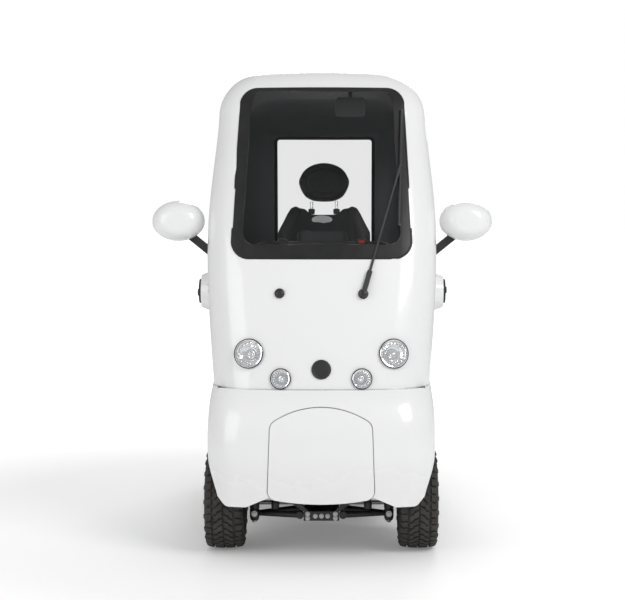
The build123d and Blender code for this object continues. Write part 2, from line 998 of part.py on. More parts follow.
# Bulkhead: toe box between the wheel wells, their tops, and the wall up to the dashboard
with BuildPart() as bulkhead:
    with BuildSketch(Plane.XY.offset(floor_top)):
        with Locations((0, nose_rear_y)):
            Rectangle(2 * toe_half, nose_rear_y - toe_front_y, align=(Align.CENTER, Align.MAX))
            Rectangle(2 * bulkhead_half, bulkhead_wall, align=(Align.CENTER, Align.MAX))
            Rectangle(
                2 * (toe_half - bulkhead_wall),
                nose_rear_y - toe_front_y - bulkhead_wall,
                align=(Align.CENTER, Align.MAX),
                mode=Mode.SUBTRACT,
            )
    extrude(amount=well_top - floor_top)
    with BuildSketch(Plane.XY.offset(well_top)):
        with Locations((0, nose_rear_y)):
            Rectangle(2 * bulkhead_half, nose_rear_y - toe_front_y, align=(Align.CENTER, Align.MAX))
            Rectangle(
                2 * (toe_half - bulkhead_wall),
                nose_rear_y - toe_front_y,
                align=(Align.CENTER, Align.MAX),
                mode=Mode.SUBTRACT,
            )
    extrude(amount=-bulkhead_wall)
    with BuildSketch(Plane.XY.offset(well_top)):
        with Locations((0, toe_front_y)):
            Rectangle(2 * bulkhead_half, bulkhead_wall, align=(Align.CENTER, Align.MIN))
    extrude(amount=dash_bottom - seat_clearance - well_top)
    with Locations((0, toe_front_y, column_slot_bottom)):
        Box(
            2 * (column_radius + column_slot_gap),
            column_slot_depth,
            column_slot_height,
            align=stand_on,
            mode=Mode.SUBTRACT,
        )
bulkhead.part.label = "bulkhead"
export_step(bulkhead.part, "parts/bulkhead.step")

# Floor tray with raised sills along the door openings
with BuildPart() as floor_pan:
    with BuildSketch(Plane.XY.offset(rail_top)):
        with BuildLine():
            Polyline(
                (-floor_half, floor_rear_y),
                (-floor_half, nose_rear_y),
                (-toe_half, nose_rear_y),
                (-toe_half, toe_front_y),
                (toe_half, toe_front_y),
                (toe_half, nose_rear_y),
                (floor_half, nose_rear_y),
                (floor_half, floor_rear_y),
                close=True,
            )
        make_face()
    extrude(amount=floor_thickness)
    with BuildSketch(Plane.XY.offset(floor_top)):
        for side in (1, -1):
            with Locations((side * (floor_half - sill_lip / 2), 0)):
                Rectangle(sill_lip, 2 * door_rear_y)
    extrude(amount=sill_top - floor_top)
    with BuildSketch(Plane.XY.offset(floor_top)):
        with Locations((0, (mat_front_y + mat_rear_y) / 2)):
            RectangleRounded(2 * mat_half, mat_rear_y - mat_front_y, mat_corner)
    extrude(amount=mat_rise)
floor_pan.part.label = "floor_pan"
export_step(floor_pan.part, "parts/floor_pan.step")

tiller_plane = Plane(
    origin=(0, tiller_foot_y, tiller_foot_z),
    x_dir=(1, 0, 0),
    z_dir=(0, sin(radians(tiller_tilt)), cos(radians(tiller_tilt))),
)

# Welded frame: two rails that kick up over the rear axle, cross-members, suspension box and towers
with BuildPart() as frame:
    for side in (1, -1):
        with BuildSketch(Plane.YZ.offset(side * rail_x - rail_width / 2)):
            with BuildLine():
                Polyline(
                    (rail_front_y, rail_bottom),
                    (rail_rise_y, rail_bottom),
                    (rail_rise_y + rail_rise_run, rear_rail_top - rail_width),
                    (rail_rear_y, rear_rail_top - rail_width),
                    (rail_rear_y, rear_rail_top),
                    (rail_rise_y + rail_rise_run - rail_width / 2, rear_rail_top),
                    (rail_rise_y - rail_width / 2, rail_top),
                    (rail_front_y, rail_top),
                    close=True,
                )
            make_face()
        extrude(amount=rail_width)
    for cross_y, cross_half, cross_top in CROSS_MEMBERS:
        with Locations((0, cross_y, cross_top)):
            Box(2 * cross_half, rail_width, rail_width, align=hang_from)
    with Locations((0, (box_front_y + box_rear_y) / 2, (box_bottom + box_top) / 2)):
        Box(2 * box_half, box_rear_y - box_front_y, box_top - box_bottom)
    for strut_y in (box_front_y, box_rear_y - strut_width):
        with BuildSketch(Plane.XZ.offset(-strut_y)):
            with BuildLine():
                Polyline(
                    (box_half - strut_width, box_top),
                    (box_half, box_top),
                    (rail_x + strut_width, rail_bottom),
                    (rail_x - strut_width, rail_bottom),
                    close=True,
                )
            make_face()
            mirror(about=Plane.YZ)
        extrude(amount=-strut_width)
    for side in (1, -1):
        with Locations((side * rail_x, tower_y, rail_top)):
            Box(rail_width, rail_width, tower_top - rail_top, align=stand_on)
        with Locations((side * (rail_x - rail_width / 2), tower_y, tower_top)):
            Box(
                tower_reach,
                rail_width,
                tower_cap,
                align=(Align.MIN if side > 0 else Align.MAX, Align.CENTER, Align.MIN),
            )
    with BuildSketch(tiller_plane.offset(head_foot)):
        Circle(head_radius)
    extrude(amount=head_length)
    with BuildSketch(tiller_plane):
        Circle(column_radius + bearing_clearance)
    extrude(amount=column_length, mode=Mode.SUBTRACT)
frame.part.label = "frame"
export_step(frame.part, "parts/frame.step")

with BuildPart() as battery_pack:
    with Locations((0, (plinth_front_y + plinth_rear_y) / 2, floor_top)):
        Box(
            2 * battery_half,
            plinth_rear_y - plinth_front_y - 2 * battery_margin,
            battery_height,
            align=stand_on,
        )
battery_pack.part.label = "battery_pack"
export_step(battery_pack.part, "parts/battery_pack.step")

# Seat: plinth over the battery, pan with its back frame, cushion, back, headrest and armrests
with BuildPart() as seat_plinth:
    with Locations((0, (plinth_front_y + plinth_rear_y) / 2, floor_top)):
        Box(
            2 * plinth_half,
            plinth_rear_y - plinth_front_y,
            plinth_top - floor_top,
            align=stand_on,
        )
        fillet(seat_plinth.edges().filter_by(Axis.Z), plinth_corner)
        Box(
            2 * (plinth_half - plinth_wall),
            plinth_rear_y - plinth_front_y - 2 * plinth_wall,
            plinth_top - floor_top - plinth_wall,
            align=stand_on,
            mode=Mode.SUBTRACT,
        )
seat_plinth.part.label = "seat_plinth"
export_step(seat_plinth.part, "parts/seat_plinth.step")

back_plane = Plane(
    origin=(0, back_foot_y, back_foot_z),
    x_dir=(1, 0, 0),
    z_dir=(0, -cos(radians(back_tilt)), sin(radians(back_tilt))),
)

with BuildPart() as seat_pan:
    with Locations((0, cushion_front_y + pan_margin, plinth_top)):
        Box(
            2 * pan_half,
            pan_rear_y - cushion_front_y - pan_margin,
            pan_thickness,
            align=(Align.CENTER, Align.MIN, Align.MIN),
        )
    with BuildSketch(back_plane.offset(-back_thickness / 2 - seat_clearance)):
        with Locations((0, plinth_top - back_foot_z)):
            Rectangle(2 * back_frame_half, back_frame_height, align=(Align.CENTER, Align.MIN))
    extrude(amount=-pan_thickness)
    with Locations(back_plane.offset(-back_thickness / 2 - pan_thickness)):
        with Locations((0, arm_tube_height)):
            Cylinder(arm_tube_radius, 2 * arm_tube_half, rotation=(0, 90, 0))
seat_pan.part.label = "seat_pan"
export_step(seat_pan.part, "parts/seat_pan.step")

with BuildPart() as seat_cushion:
    with BuildSketch(Plane.XY.offset(plinth_top + pan_thickness + seat_clearance)):
        with Locations((0, (cushion_front_y + cushion_rear_y) / 2)):
            RectangleRounded(2 * cushion_half, cushion_rear_y - cushion_front_y, cushion_corner)
    extrude(amount=cushion_thickness)
    fillet(seat_cushion.edges().group_by(Axis.Z)[-1], cushion_round)
seat_cushion.part.label = "seat_cushion"
export_step(seat_cushion.part, "parts/seat_cushion.step")

with BuildPart() as seat_back:
    with BuildSketch(back_plane.offset(-back_thickness / 2)):
        with BuildLine():
            Polyline(
                (0, 0),
                (back_half - back_taper, 0),
                (back_half, back_waist),
                (back_half - back_taper / 2, back_height - back_shoulder),
                (back_top_half, back_height),
                (0, back_height),
                close=True,
            )
        make_face()
        mirror(about=Plane.YZ)
    extrude(amount=back_thickness)
    corners = seat_back.edges().filter_by(lambda e: abs(e.length - back_thickness) < 1 and e.is_forward)
    fillet(corners, back_round)
seat_back.part.label = "seat_back"
export_step(seat_back.part, "parts/seat_back.step")

headrest_centre = back_height + headrest_gap + headrest_height / 2
with BuildPart() as seat_headrest:
    with BuildSketch(back_plane.offset(-headrest_thickness / 2)):
        with Locations((0, headrest_centre)):
            Ellipse(headrest_half, headrest_height / 2)
    extrude(amount=headrest_thickness)
seat_headrest.part.label = "seat_headrest"
export_step(seat_headrest.part, "parts/seat_headrest.step")

post_inner = (post_x - post_radius) / headrest_half
post_top = headrest_centre - headrest_height / 2 * sqrt(1 - post_inner**2)
with BuildPart() as headrest_posts:
    for side in (1, -1):
        with Locations(back_plane):
            with Locations((side * post_x, back_height + seat_clearance)):
                Cylinder(
                    post_radius,
                    post_top - back_height - 2 * seat_clearance,
                    rotation=(-90, 0, 0),
                    align=stand_on,
                )
headrest_posts.part.label = "headrest_posts"
export_step(headrest_posts.part, "parts/headrest_posts.step")

arm_tube_centre = back_plane.offset(-back_thickness / 2 - pan_thickness).from_local_coords(
    Vector(0, arm_tube_height, 0)
)
arm_tube_y = arm_tube_centre.Y
arm_tube_z = arm_tube_centre.Z
with BuildPart() as armrests:
    for side in (1, -1):
        with Locations((side * armrest_x, armrest_rear_y, armrest_z)):
            Box(
                armrest_width,
                armrest_length,
                armrest_height,
                align=(Align.CENTER, Align.MAX, Align.CENTER),
            )
        with BuildSketch(Plane.YZ.offset(side * (arm_tube_half + seat_clearance))):
            with BuildLine():
                Polyline(
                    (armrest_rear_y - armrest_height, armrest_z),
                    (armrest_rear_y, armrest_z),
                    (arm_tube_y + 2 * arm_tube_radius, arm_tube_z),
                    (arm_tube_y, arm_tube_z - 2 * arm_tube_radius),
                    (arm_tube_y - 2 * arm_tube_radius, arm_tube_z),
                    close=True,
                )
            make_face()
        extrude(amount=side * armrest_plate)
armrests.part.label = "armrests"
export_step(armrests.part, "parts/armrests.step")

# Boot tray behind the seat, over the rear axle
with BuildPart() as boot_tray:
    with Locations((0, boot_front_y, rear_rail_top)):
        Box(reach, reach, bulkhead_wall, align=(Align.CENTER, Align.MIN, Align.MIN))
    with Locations((0, boot_front_y, floor_top)):
        Box(
            2 * bulkhead_half,
            bulkhead_wall,
            rear_rail_top - floor_top,
            align=(Align.CENTER, Align.MIN, Align.MIN),
        )
    with Locations((0, boot_wall_y, rear_rail_top)):
        Box(reach, bulkhead_wall, boot_wall_height, align=(Align.CENTER, Align.MIN, Align.MIN))
    add(cab_room.part, mode=Mode.INTERSECT)
boot_tray.part.label = "boot_tray"
export_step(boot_tray.part, "parts/boot_tray.step")

# Front suspension: wishbone, kingpin and upper link on each side, one welded piece a side
with BuildPart() as front_arms:
    for leg_y in (arm_leg_front_y, arm_leg_rear_y):
        with Locations((box_half + seat_clearance + arm_pivot_radius, leg_y, arm_pivot_z)):
            Cylinder(arm_pivot_radius, arm_pivot_length, rotation=(90, 0, 0))
        leg_start = Vector(box_half + seat_clearance + arm_pivot_radius, leg_y, arm_pivot_z)
        leg_end = Vector(kingpin_x, front_axle_y, (arm_boss_bottom + arm_boss_top) / 2)
        leg_plane = Plane(origin=leg_start, z_dir=leg_end - leg_start)
        with BuildSketch(leg_plane):
            Circle(arm_leg_radius)
        with BuildSketch(leg_plane.offset((leg_end - leg_start).length)):
            Circle(arm_tip_radius)
        loft()
    with Locations((kingpin_x, front_axle_y, arm_boss_bottom)):
        Cylinder(knuckle_radius, arm_boss_top - arm_boss_bottom, align=stand_on)
        Cylinder(kingpin_radius, upper_eye_top - arm_boss_bottom, align=stand_on)
    with BuildSketch(Plane.XY.offset(upper_eye_bottom)):
        with Locations((kingpin_x, front_axle_y)):
            Circle(knuckle_radius)
        with Locations((kingpin_x, front_axle_y)):
            Rectangle(
                kingpin_x - rail_x - rail_width / 2 - seat_clearance,
                upper_link_width,
                align=(Align.MAX, Align.CENTER),
            )
    extrude(amount=upper_eye_top - upper_eye_bottom)
    with Locations((rail_x + rail_width / 2 + seat_clearance, front_axle_y, upper_eye_top)):
        Box(
            upper_foot,
            upper_link_width,
            upper_eye_top - rail_bottom,
            align=(Align.MIN, Align.CENTER, Align.MAX),
        )
    mirror(about=Plane.YZ)
front_arms.part.label = "front_arms"
export_step(front_arms.part, "parts/front_arms.step")

# Steering knuckles: upright, stub axle with shoulder and end nut, and steering arm
for side, name in ((1, "left"), (-1, "right")):
    with BuildPart() as knuckle:
        with Locations((side * kingpin_x, front_axle_y, knuckle_bottom)):
            Cylinder(knuckle_radius, knuckle_top - knuckle_bottom, align=stand_on)
        with BuildSketch(Plane.YZ.offset(side * kingpin_x)):
            with Locations((front_axle_y, axle_z)):
                Circle(stub_radius)
        extrude(amount=side * (wheel_x + hub_outer + nut_width + seat_clearance - kingpin_x))
        with BuildSketch(Plane.YZ.offset(side * kingpin_x)):
            with Locations((front_axle_y, axle_z)):
                Circle(shoulder_radius)
        extrude(amount=side * (wheel_x - hub_inner - seat_clearance - kingpin_x))
        with BuildSketch(Plane.YZ.offset(side * (wheel_x + hub_outer + seat_clearance))):
            with Locations((front_axle_y, axle_z)):
                RegularPolygon(nut_radius, nut_sides)
        extrude(amount=side * nut_width)
        with BuildSketch(Plane.XY.offset(steer_arm_bottom)):
            with Locations((side * kingpin_x, front_axle_y)):
                Rectangle(steer_arm_width, steer_arm, align=(Align.CENTER, Align.MIN))
            with Locations((side * kingpin_x, front_axle_y + steer_arm)):
                Circle(rod_eye_radius)
        extrude(amount=steer_arm_thickness)
        with Locations((side * kingpin_x, front_axle_y, axle_z)):
            Cylinder(kingpin_radius + bearing_clearance, 2 * knuckle_top, mode=Mode.SUBTRACT)
    knuckle.part.label = f"knuckle_{name}"
    export_step(knuckle.part, f"parts/knuckle_{name}.step")

# Track rod behind the axle, one eye under each steering arm
with BuildPart() as track_rod:
    with BuildSketch(Plane.YZ.offset(-kingpin_x)):
        with Locations((front_axle_y + steer_arm, rod_z)):
            Circle(rod_radius)
    extrude(amount=2 * kingpin_x)
    for eye_x, under in ((-kingpin_x, steer_arm_bottom), (0, pitman_bottom), (kingpin_x, steer_arm_bottom)):
        with Locations((eye_x, front_axle_y + steer_arm, rod_eye_bottom)):
            Cylinder(
                rod_eye_radius,
                under - seat_clearance - rod_eye_bottom,
                align=stand_on,
            )
track_rod.part.label = "track_rod"
export_step(track_rod.part, "parts/track_rod.step")

# Tiller: raked column with a pitman arm at its foot and a wrap-round handlebar at its head
with BuildPart() as tiller:
    with BuildSketch(tiller_plane):
        Circle(column_radius)
    extrude(amount=column_length)
    with BuildSketch(Plane.XY.offset(pitman_bottom)):
        with Locations((0, tiller_foot_y)):
            Rectangle(
                2 * pitman_half,
                steer_arm + front_axle_y - tiller_foot_y,
                align=(Align.CENTER, Align.MIN),
            )
        with Locations((0, front_axle_y + steer_arm)):
            Circle(rod_eye_radius)
    extrude(amount=pitman_top - pitman_bottom)
    with Locations(tiller_plane.offset(head_foot + head_length + seat_clearance)):
        Cylinder(collar_radius, collar_height, align=stand_on)
    with BuildLine(tiller_plane.offset(loop_height)) as loop_path:
        FilletPolyline(
            (loop_half, loop_front),
            (loop_half, loop_rear),
            (-loop_half, loop_rear),
            (-loop_half, loop_front),
            radius=loop_corner,
            close=True,
        )
    with BuildSketch(Plane(origin=loop_path.wire() @ 0, z_dir=loop_path.wire() % 0)):
        Circle(loop_radius)
    sweep(path=loop_path.wire())
    with BuildSketch(tiller_plane.offset(column_length - yoke_thickness)):
        with Locations((0, loop_front)):
            Rectangle(2 * yoke_half, column_radius - loop_front, align=(Align.CENTER, Align.MIN))
    extrude(amount=yoke_thickness)
    with BuildSketch(tiller_plane.offset(column_length - yoke_thickness)):
        with Locations((0, loop_front)):
            Rectangle(2 * yoke_half, 2 * loop_radius)
    extrude(amount=yoke_thickness + loop_height - column_length)
tiller.part.label = "tiller"
export_step(tiller.part, "parts/tiller.step")

with BuildPart() as tiller_console:
    with BuildSketch(tiller_plane.offset(column_length + seat_clearance)):
        with Locations((0, (loop_front + loop_rear) / 2)):
            RectangleRounded(2 * console_half, console_depth, console_corner)
    extrude(amount=console_height, taper=console_taper)
tiller_console.part.label = "tiller_console"
export_step(tiller_console.part, "parts/tiller_console.step")

# Wheels: a dished rim with round windows in its disc, and a tyre seated between its flanges
WHEELS = [
    # side, axle_y, name
    (1, front_axle_y, "front_left"),
    (-1, front_axle_y, "front_right"),
    (1, rear_axle_y, "rear_left"),
    (-1, rear_axle_y, "rear_right"),
]
for side, wheel_y, name in WHEELS:
    section_plane = Plane(origin=(side * wheel_x, wheel_y, axle_z), x_dir=(side, 0, 0), z_dir=(0, -side, 0))
    spin = Axis((side * wheel_x, wheel_y, axle_z), (1, 0, 0))
    disc_plane = Plane(origin=(side * (wheel_x + disc_offset), wheel_y, axle_z), z_dir=(side, 0, 0))
    with BuildPart() as rim:
        with BuildSketch(section_plane):
            with Locations((0, bead_radius)):
                Rectangle(2 * rim_half, rim_wall, align=(Align.CENTER, Align.MAX))
            for end in (1, -1):
                with Locations((end * rim_half, bead_radius - rim_wall)):
                    inward = Align.MAX if end > 0 else Align.MIN
                    Rectangle(rim_wall, rim_wall + rim_flange, align=(inward, Align.MIN))
            with Locations((disc_offset, hub_radius - rim_wall)):
                Rectangle(disc_thickness, bead_radius - hub_radius, align=(Align.MIN, Align.MIN))
            with Locations((-hub_inner, stub_radius + bearing_clearance)):
                Rectangle(
                    hub_inner + hub_outer,
                    hub_radius - stub_radius - bearing_clearance,
                    align=(Align.MIN, Align.MIN),
                )
        revolve(axis=spin)
        with BuildSketch(disc_plane):
            with PolarLocations((hub_radius + bead_radius - rim_wall) / 2, window_count):
                Circle(window_radius)
        extrude(amount=2 * disc_thickness, both=True, mode=Mode.SUBTRACT)
    rim.part.label = f"rim_{name}"
    export_step(rim.part, f"parts/rim_{name}.step")

    with BuildPart() as tyre:
        with BuildSketch(section_plane):
            with BuildLine():
                bead_side = rim_half - rim_wall - seat_clearance
                bead_top = bead_radius + rim_flange + 2
                wall_radius = (tyre_radius + bead_top) / 2
                Line((0, bead_radius + seat_clearance), (bead_side, bead_radius + seat_clearance))
                Line((bead_side, bead_radius + seat_clearance), (bead_side, bead_top))
                shoulder = (tread_half, tyre_radius - tread_drop)
                ThreePointArc((bead_side, bead_top), (tyre_width / 2, wall_radius), shoulder)
                Line(shoulder, (tread_half / 2, tyre_radius - crown_drop))
                Line((tread_half / 2, tyre_radius - crown_drop), (0, tyre_radius))
                mirror(about=Plane.YZ)
            make_face()
        revolve(axis=spin)
    tyre.part.label = f"tyre_{name}"
    export_step(tyre.part, f"parts/tyre_{name}.step")

# Rear transaxle: axle tube, gearcase, motor, trailing arms and the two stub axles
with BuildPart() as transaxle:
    with Locations((0, rear_axle_y, axle_z)):
        Cylinder(stub_radius, 2 * (wheel_x + hub_outer + nut_width + seat_clearance), rotation=(0, 90, 0))
        Cylinder(axle_tube_radius, 2 * (wheel_x - hub_inner - seat_clearance), rotation=(0, 90, 0))
        Cylinder(gearcase_radius, gearcase_width, rotation=(0, 90, 0))
    for side in (1, -1):
        with BuildSketch(Plane.YZ.offset(side * (wheel_x + hub_outer + seat_clearance))):
            with Locations((rear_axle_y, axle_z)):
                RegularPolygon(nut_radius, nut_sides)
        extrude(amount=side * nut_width)
        with BuildSketch(Plane.YZ.offset(side * (rail_x + rail_width / 2 + seat_clearance))):
            with BuildLine():
                Polyline(
                    (trail_pivot_y, rail_bottom + rail_width / 2 - trail_end),
                    (trail_pivot_y, rail_bottom + rail_width / 2 + trail_end),
                    (rear_axle_y, axle_z + axle_tube_radius),
                    (rear_axle_y, axle_z - axle_tube_radius),
                    close=True,
                )
            make_face()
        extrude(amount=side * trail_width)
    with Locations((0, rear_axle_y + motor_back, axle_z + motor_lift)):
        Cylinder(motor_radius, motor_length, rotation=(90, 0, 0), align=hang_from)
transaxle.part.label = "transaxle"
export_step(transaxle.part, "parts/transaxle.step")

# Spring and damper units: eye, damper tube, spring and top eye, two in front and two behind
SHOCKS = [
    # x, y, low, high
    (shock_x, tower_y, front_shock_low, tower_top),
    (rear_shock_x, rear_outrigger_y, axle_z + axle_tube_radius, rear_rail_top - rail_width),
]
with BuildPart() as shock_absorbers:
    for shock_at_x, shock_y, low, high in SHOCKS:
        length = high - low - 2 * seat_clearance
        with Locations((shock_at_x, shock_y, low + seat_clearance)):
            Cylinder(damper_radius, length, align=stand_on)
        with Locations((shock_at_x, shock_y, low + spring_start * length)):
            Cylinder(spring_radius, (spring_end - spring_start) * length, align=stand_on)
    mirror(about=Plane.YZ)
shock_absorbers.part.label = "shock_absorbers"
export_step(shock_absorbers.part, "parts/shock_absorbers.step")

# Round lamps sunk in the front panel: bright bowls with a clear lens in each
with BuildPart() as headlamps:
    for lamp_x, lamp_z, lamp_radius in LAMPS:
        for side in (1, -1):
            with BuildSketch(lamp_plane(side * lamp_x, lamp_z, lamp_depth)):
                Circle(lamp_radius + lamp_bezel)
            extrude(amount=lamp_depth + lamp_proud)
            with BuildSketch(lamp_plane(side * lamp_x, lamp_z, lamp_depth - lamp_bezel)):
                Circle(lamp_radius)
            extrude(amount=lamp_depth + lamp_proud, mode=Mode.SUBTRACT)
headlamps.part.label = "headlamps"
export_step(headlamps.part, "parts/headlamps.step")

with BuildPart() as lamp_lenses:
    for lamp_x, lamp_z, lamp_radius in LAMPS:
        for side in (1, -1):
            with BuildSketch(lamp_plane(side * lamp_x, lamp_z, lens_depth)):
                Circle(lamp_radius - seat_clearance)
            extrude(amount=lens_depth + lamp_proud)
lamp_lenses.part.label = "lamp_lenses"
export_step(lamp_lenses.part, "parts/lamp_lenses.step")

# Plain round cap and the washer nub, each with a stem through the panel
PLUGS = [
    # x, z, radius, height
    (0, cap_z, cap_radius, cap_height),
    (nub_x, nub_z, nub_radius, nub_height),
]
with BuildPart() as front_caps:
    for plug_x, plug_z, plug_radius, plug_height in PLUGS:
        with BuildSketch(lamp_plane(plug_x, plug_z, -skin_clearance)):
            Circle(plug_radius)
        extrude(amount=plug_height)
        with BuildSketch(lamp_plane(plug_x, plug_z, -skin_clearance)):
            Circle(plug_radius / 2)
        extrude(amount=-wall / 2)
front_caps.part.label = "front_caps"
export_step(front_caps.part, "parts/front_caps.step")

# Wiper: pivot on the left side of the panel, an arm and a blade along the glass
with BuildPart() as wiper_blade:
    with BuildSketch(Plane.XZ):
        with BuildLine():
            Polyline(
                (blade_low_x - blade_half, blade_low_z),
                (blade_low_x + blade_half, blade_low_z),
                (blade_high_x + blade_half, blade_high_z),
                (blade_high_x - blade_half, blade_high_z),
                close=True,
            )
        make_face()
    extrude(amount=reach)
    add(blade_head.part, mode=Mode.INTERSECT)
    add(blade_foot.part, mode=Mode.SUBTRACT)

with BuildPart() as wiper:
    with BuildSketch(Plane.XZ):
        with BuildLine():
            Polyline(
                (wiper_x - wiper_arm_half, wiper_z),
                (wiper_x + wiper_arm_half, wiper_z),
                (wiper_tip_x + wiper_arm_half / 2, wiper_tip_z),
                (wiper_tip_x - wiper_arm_half / 2, wiper_tip_z),
                close=True,
            )
        make_face()
    extrude(amount=reach)
    add(arm_layer.part, mode=Mode.INTERSECT)
    add(wiper_blade.part)
    with BuildSketch(lamp_plane(wiper_x, wiper_z, wall / 2)):
        Circle(nub_radius / 2)
    extrude(amount=wall / 2 + blade_height)
    with BuildSketch(lamp_plane(wiper_x, wiper_z, -skin_clearance)):
        Circle(nub_radius)
    extrude(amount=blade_height + wiper_arm_thickness)
wiper.part.label = "wiper"
export_step(wiper.part, "parts/wiper.step")

# Outline sections of a mirror housing from its open rear face to its domed front
MIRROR_ROWS = [
    # distance in front of the mirror's rear face, share of the full outline
    (0, 1),
    (32, 0.95),
    (56, 0.76),
    (70, 0.42),
]


def mirror_sections(side, grow):
    """Ellipses of one mirror housing, grown by a clearance."""
    sections = []
    for ahead, share in MIRROR_ROWS:
        with BuildSketch(Plane.XZ.offset(ahead - mirror_y + (grow if ahead else -grow))) as outline:
            with Locations((side * mirror_x, mirror_z)):
                Ellipse(mirror_half * share + grow, mirror_height * share + grow)
        sections.append(outline.sketch)
    return sections


# Door mirrors on flat stalks
with BuildPart() as mirror_stalks:
    with BuildSketch(Plane.XZ.offset(-mirror_y)):
        with BuildLine():
            Polyline(
                (stalk_foot_x, stalk_foot_z - stalk_half),
                (stalk_foot_x, stalk_foot_z + stalk_half),
                (stalk_head_x, stalk_head_z + stalk_half),
                (stalk_head_x, stalk_head_z - stalk_half),
                close=True,
            )
        make_face()
        mirror(about=Plane.YZ)
    extrude(amount=stalk_depth / 2, both=True)
    add(cab_proud.part, mode=Mode.SUBTRACT)
    loft(mirror_sections(1, seat_clearance), mode=Mode.SUBTRACT)
    loft(mirror_sections(-1, seat_clearance), mode=Mode.SUBTRACT)
mirror_stalks.part.label = "mirror_stalks"
export_step(mirror_stalks.part, "parts/mirror_stalks.step")

with BuildPart() as mirror_housings:
    for side in (1, -1):
        loft(mirror_sections(side, 0))
        with BuildSketch(Plane.XZ.offset(-mirror_y)):
            with Locations((side * mirror_x, mirror_z)):
                Ellipse(mirror_half - mirror_lip, mirror_height - mirror_lip)
        extrude(amount=mirror_recess, mode=Mode.SUBTRACT)
mirror_housings.part.label = "mirror_housings"
export_step(mirror_housings.part, "parts/mirror_housings.step")

with BuildPart() as mirror_glasses:
    for side in (1, -1):
        with BuildSketch(Plane.XZ.offset(-mirror_y)):
            with Locations((side * mirror_x, mirror_z)):
                Ellipse(
                    mirror_half - mirror_lip - seat_clearance,
                    mirror_height - mirror_lip - seat_clearance,
                )
        extrude(amount=mirror_recess - seat_clearance)
mirror_glasses.part.label = "mirror_glasses"
export_step(mirror_glasses.part, "parts/mirror_glasses.step")

# Mirror inside the cab on a stem from the roof lining
with BuildPart() as interior_mirror:
    with BuildSketch(Plane.XZ.offset(-cabin_mirror_y)):
        with Locations((cabin_mirror_x, cabin_mirror_z)):
            RectangleRounded(cabin_mirror_width, cabin_mirror_height, cabin_mirror_corner)
    extrude(amount=cabin_mirror_depth)
    with Locations((cabin_mirror_x, cabin_mirror_y - cabin_mirror_depth / 2, cabin_mirror_z)):
        Cylinder(post_radius, roof_top - cabin_mirror_z, align=stand_on)
    loft(roof_sections(wall + 2 * skin_clearance + liner_thickness), mode=Mode.INTERSECT)
interior_mirror.part.label = "interior_mirror"
export_step(interior_mirror.part, "parts/interior_mirror.step")

# Tail lamps and rear bumper follow the rear wall
with BuildPart() as tail_lamps:
    for side in (1, -1):
        with BuildSketch(Plane.XZ):
            with Locations((side * tail_x, tail_z)):
                RectangleRounded(tail_width, tail_height, tail_corner)
        extrude(amount=-reach)
    add(trim_layer.part, mode=Mode.INTERSECT)
tail_lamps.part.label = "tail_lamps"
export_step(tail_lamps.part, "parts/tail_lamps.step")

with BuildPart() as rear_bumper:
    with Locations((0, bumper_front_y, bumper_bottom)):
        Box(reach, reach, bumper_height, align=(Align.CENTER, Align.MIN, Align.MIN))
    add(trim_layer.part, mode=Mode.INTERSECT)
rear_bumper.part.label = "rear_bumper"
export_step(rear_bumper.part, "parts/rear_bumper.step")
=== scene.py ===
# %% [markdown]
# An enclosed mobility scooter: a white moulded cab on four small wheels, seen from the front. The CAD
# model fixes where everything is. This notebook dresses it: each finish is a small node tree, and each
# piece that the CAD leaves plain, such as tyre treads or the padded seat, is made here in metres.

# %% Load the CAD frame
import json
import math

import bmesh
import bpy
from mathutils import Matrix, Vector
from mathutils.bvhtree import BVHTree


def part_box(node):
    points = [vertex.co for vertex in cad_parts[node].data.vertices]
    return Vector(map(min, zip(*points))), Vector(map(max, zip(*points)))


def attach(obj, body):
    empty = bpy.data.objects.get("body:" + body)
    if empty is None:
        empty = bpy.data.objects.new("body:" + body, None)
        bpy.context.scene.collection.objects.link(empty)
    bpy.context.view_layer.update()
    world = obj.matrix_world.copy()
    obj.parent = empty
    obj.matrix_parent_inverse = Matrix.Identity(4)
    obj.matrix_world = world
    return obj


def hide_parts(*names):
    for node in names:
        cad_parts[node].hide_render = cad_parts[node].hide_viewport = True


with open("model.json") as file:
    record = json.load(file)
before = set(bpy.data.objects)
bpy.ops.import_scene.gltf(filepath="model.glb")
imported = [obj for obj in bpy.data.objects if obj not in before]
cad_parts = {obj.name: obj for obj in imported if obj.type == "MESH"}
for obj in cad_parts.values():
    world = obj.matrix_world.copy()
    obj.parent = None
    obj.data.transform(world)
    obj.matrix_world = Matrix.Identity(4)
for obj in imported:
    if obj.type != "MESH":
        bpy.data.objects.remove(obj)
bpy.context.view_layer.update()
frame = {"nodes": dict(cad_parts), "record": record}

nodes = frame["nodes"]

# %% [markdown]
# The camera stands about 4.5 m in front of the nose, level, 1.1 m above the floor and slightly to one
# side. A level camera keeps the cab's sides upright, so the framing is done with lens shift, as on a view
# camera.

# %% Camera
CAMERA_PLACE = (0.044, -5.325, 1.10)
PIXELS_WIDE = 625
FOCAL_PIXELS = 1440
AXIS_RIGHT_OF_CENTRE = 22.5
HORIZON_ABOVE_CENTRE = 86
SENSOR = 36

camera = bpy.data.objects.new("camera", bpy.data.cameras.new("camera"))
camera.data.sensor_width = SENSOR
camera.data.lens = SENSOR * FOCAL_PIXELS / PIXELS_WIDE
camera.data.shift_x = -AXIS_RIGHT_OF_CENTRE / PIXELS_WIDE
camera.data.shift_y = -HORIZON_ABOVE_CENTRE / PIXELS_WIDE
camera.location = CAMERA_PLACE
camera.rotation_euler = (math.radians(90), 0, 0)
bpy.context.scene.collection.objects.link(camera)
bpy.context.scene.camera = camera
bpy.context.scene.view_settings.view_transform = "Standard"

# %% [markdown]
# Node trees are easier to read as sums. A Value wraps one output of a node, and Python's operators on it
# add Math nodes. A Graph adds any other node from its type, its settings and what feeds its sockets.

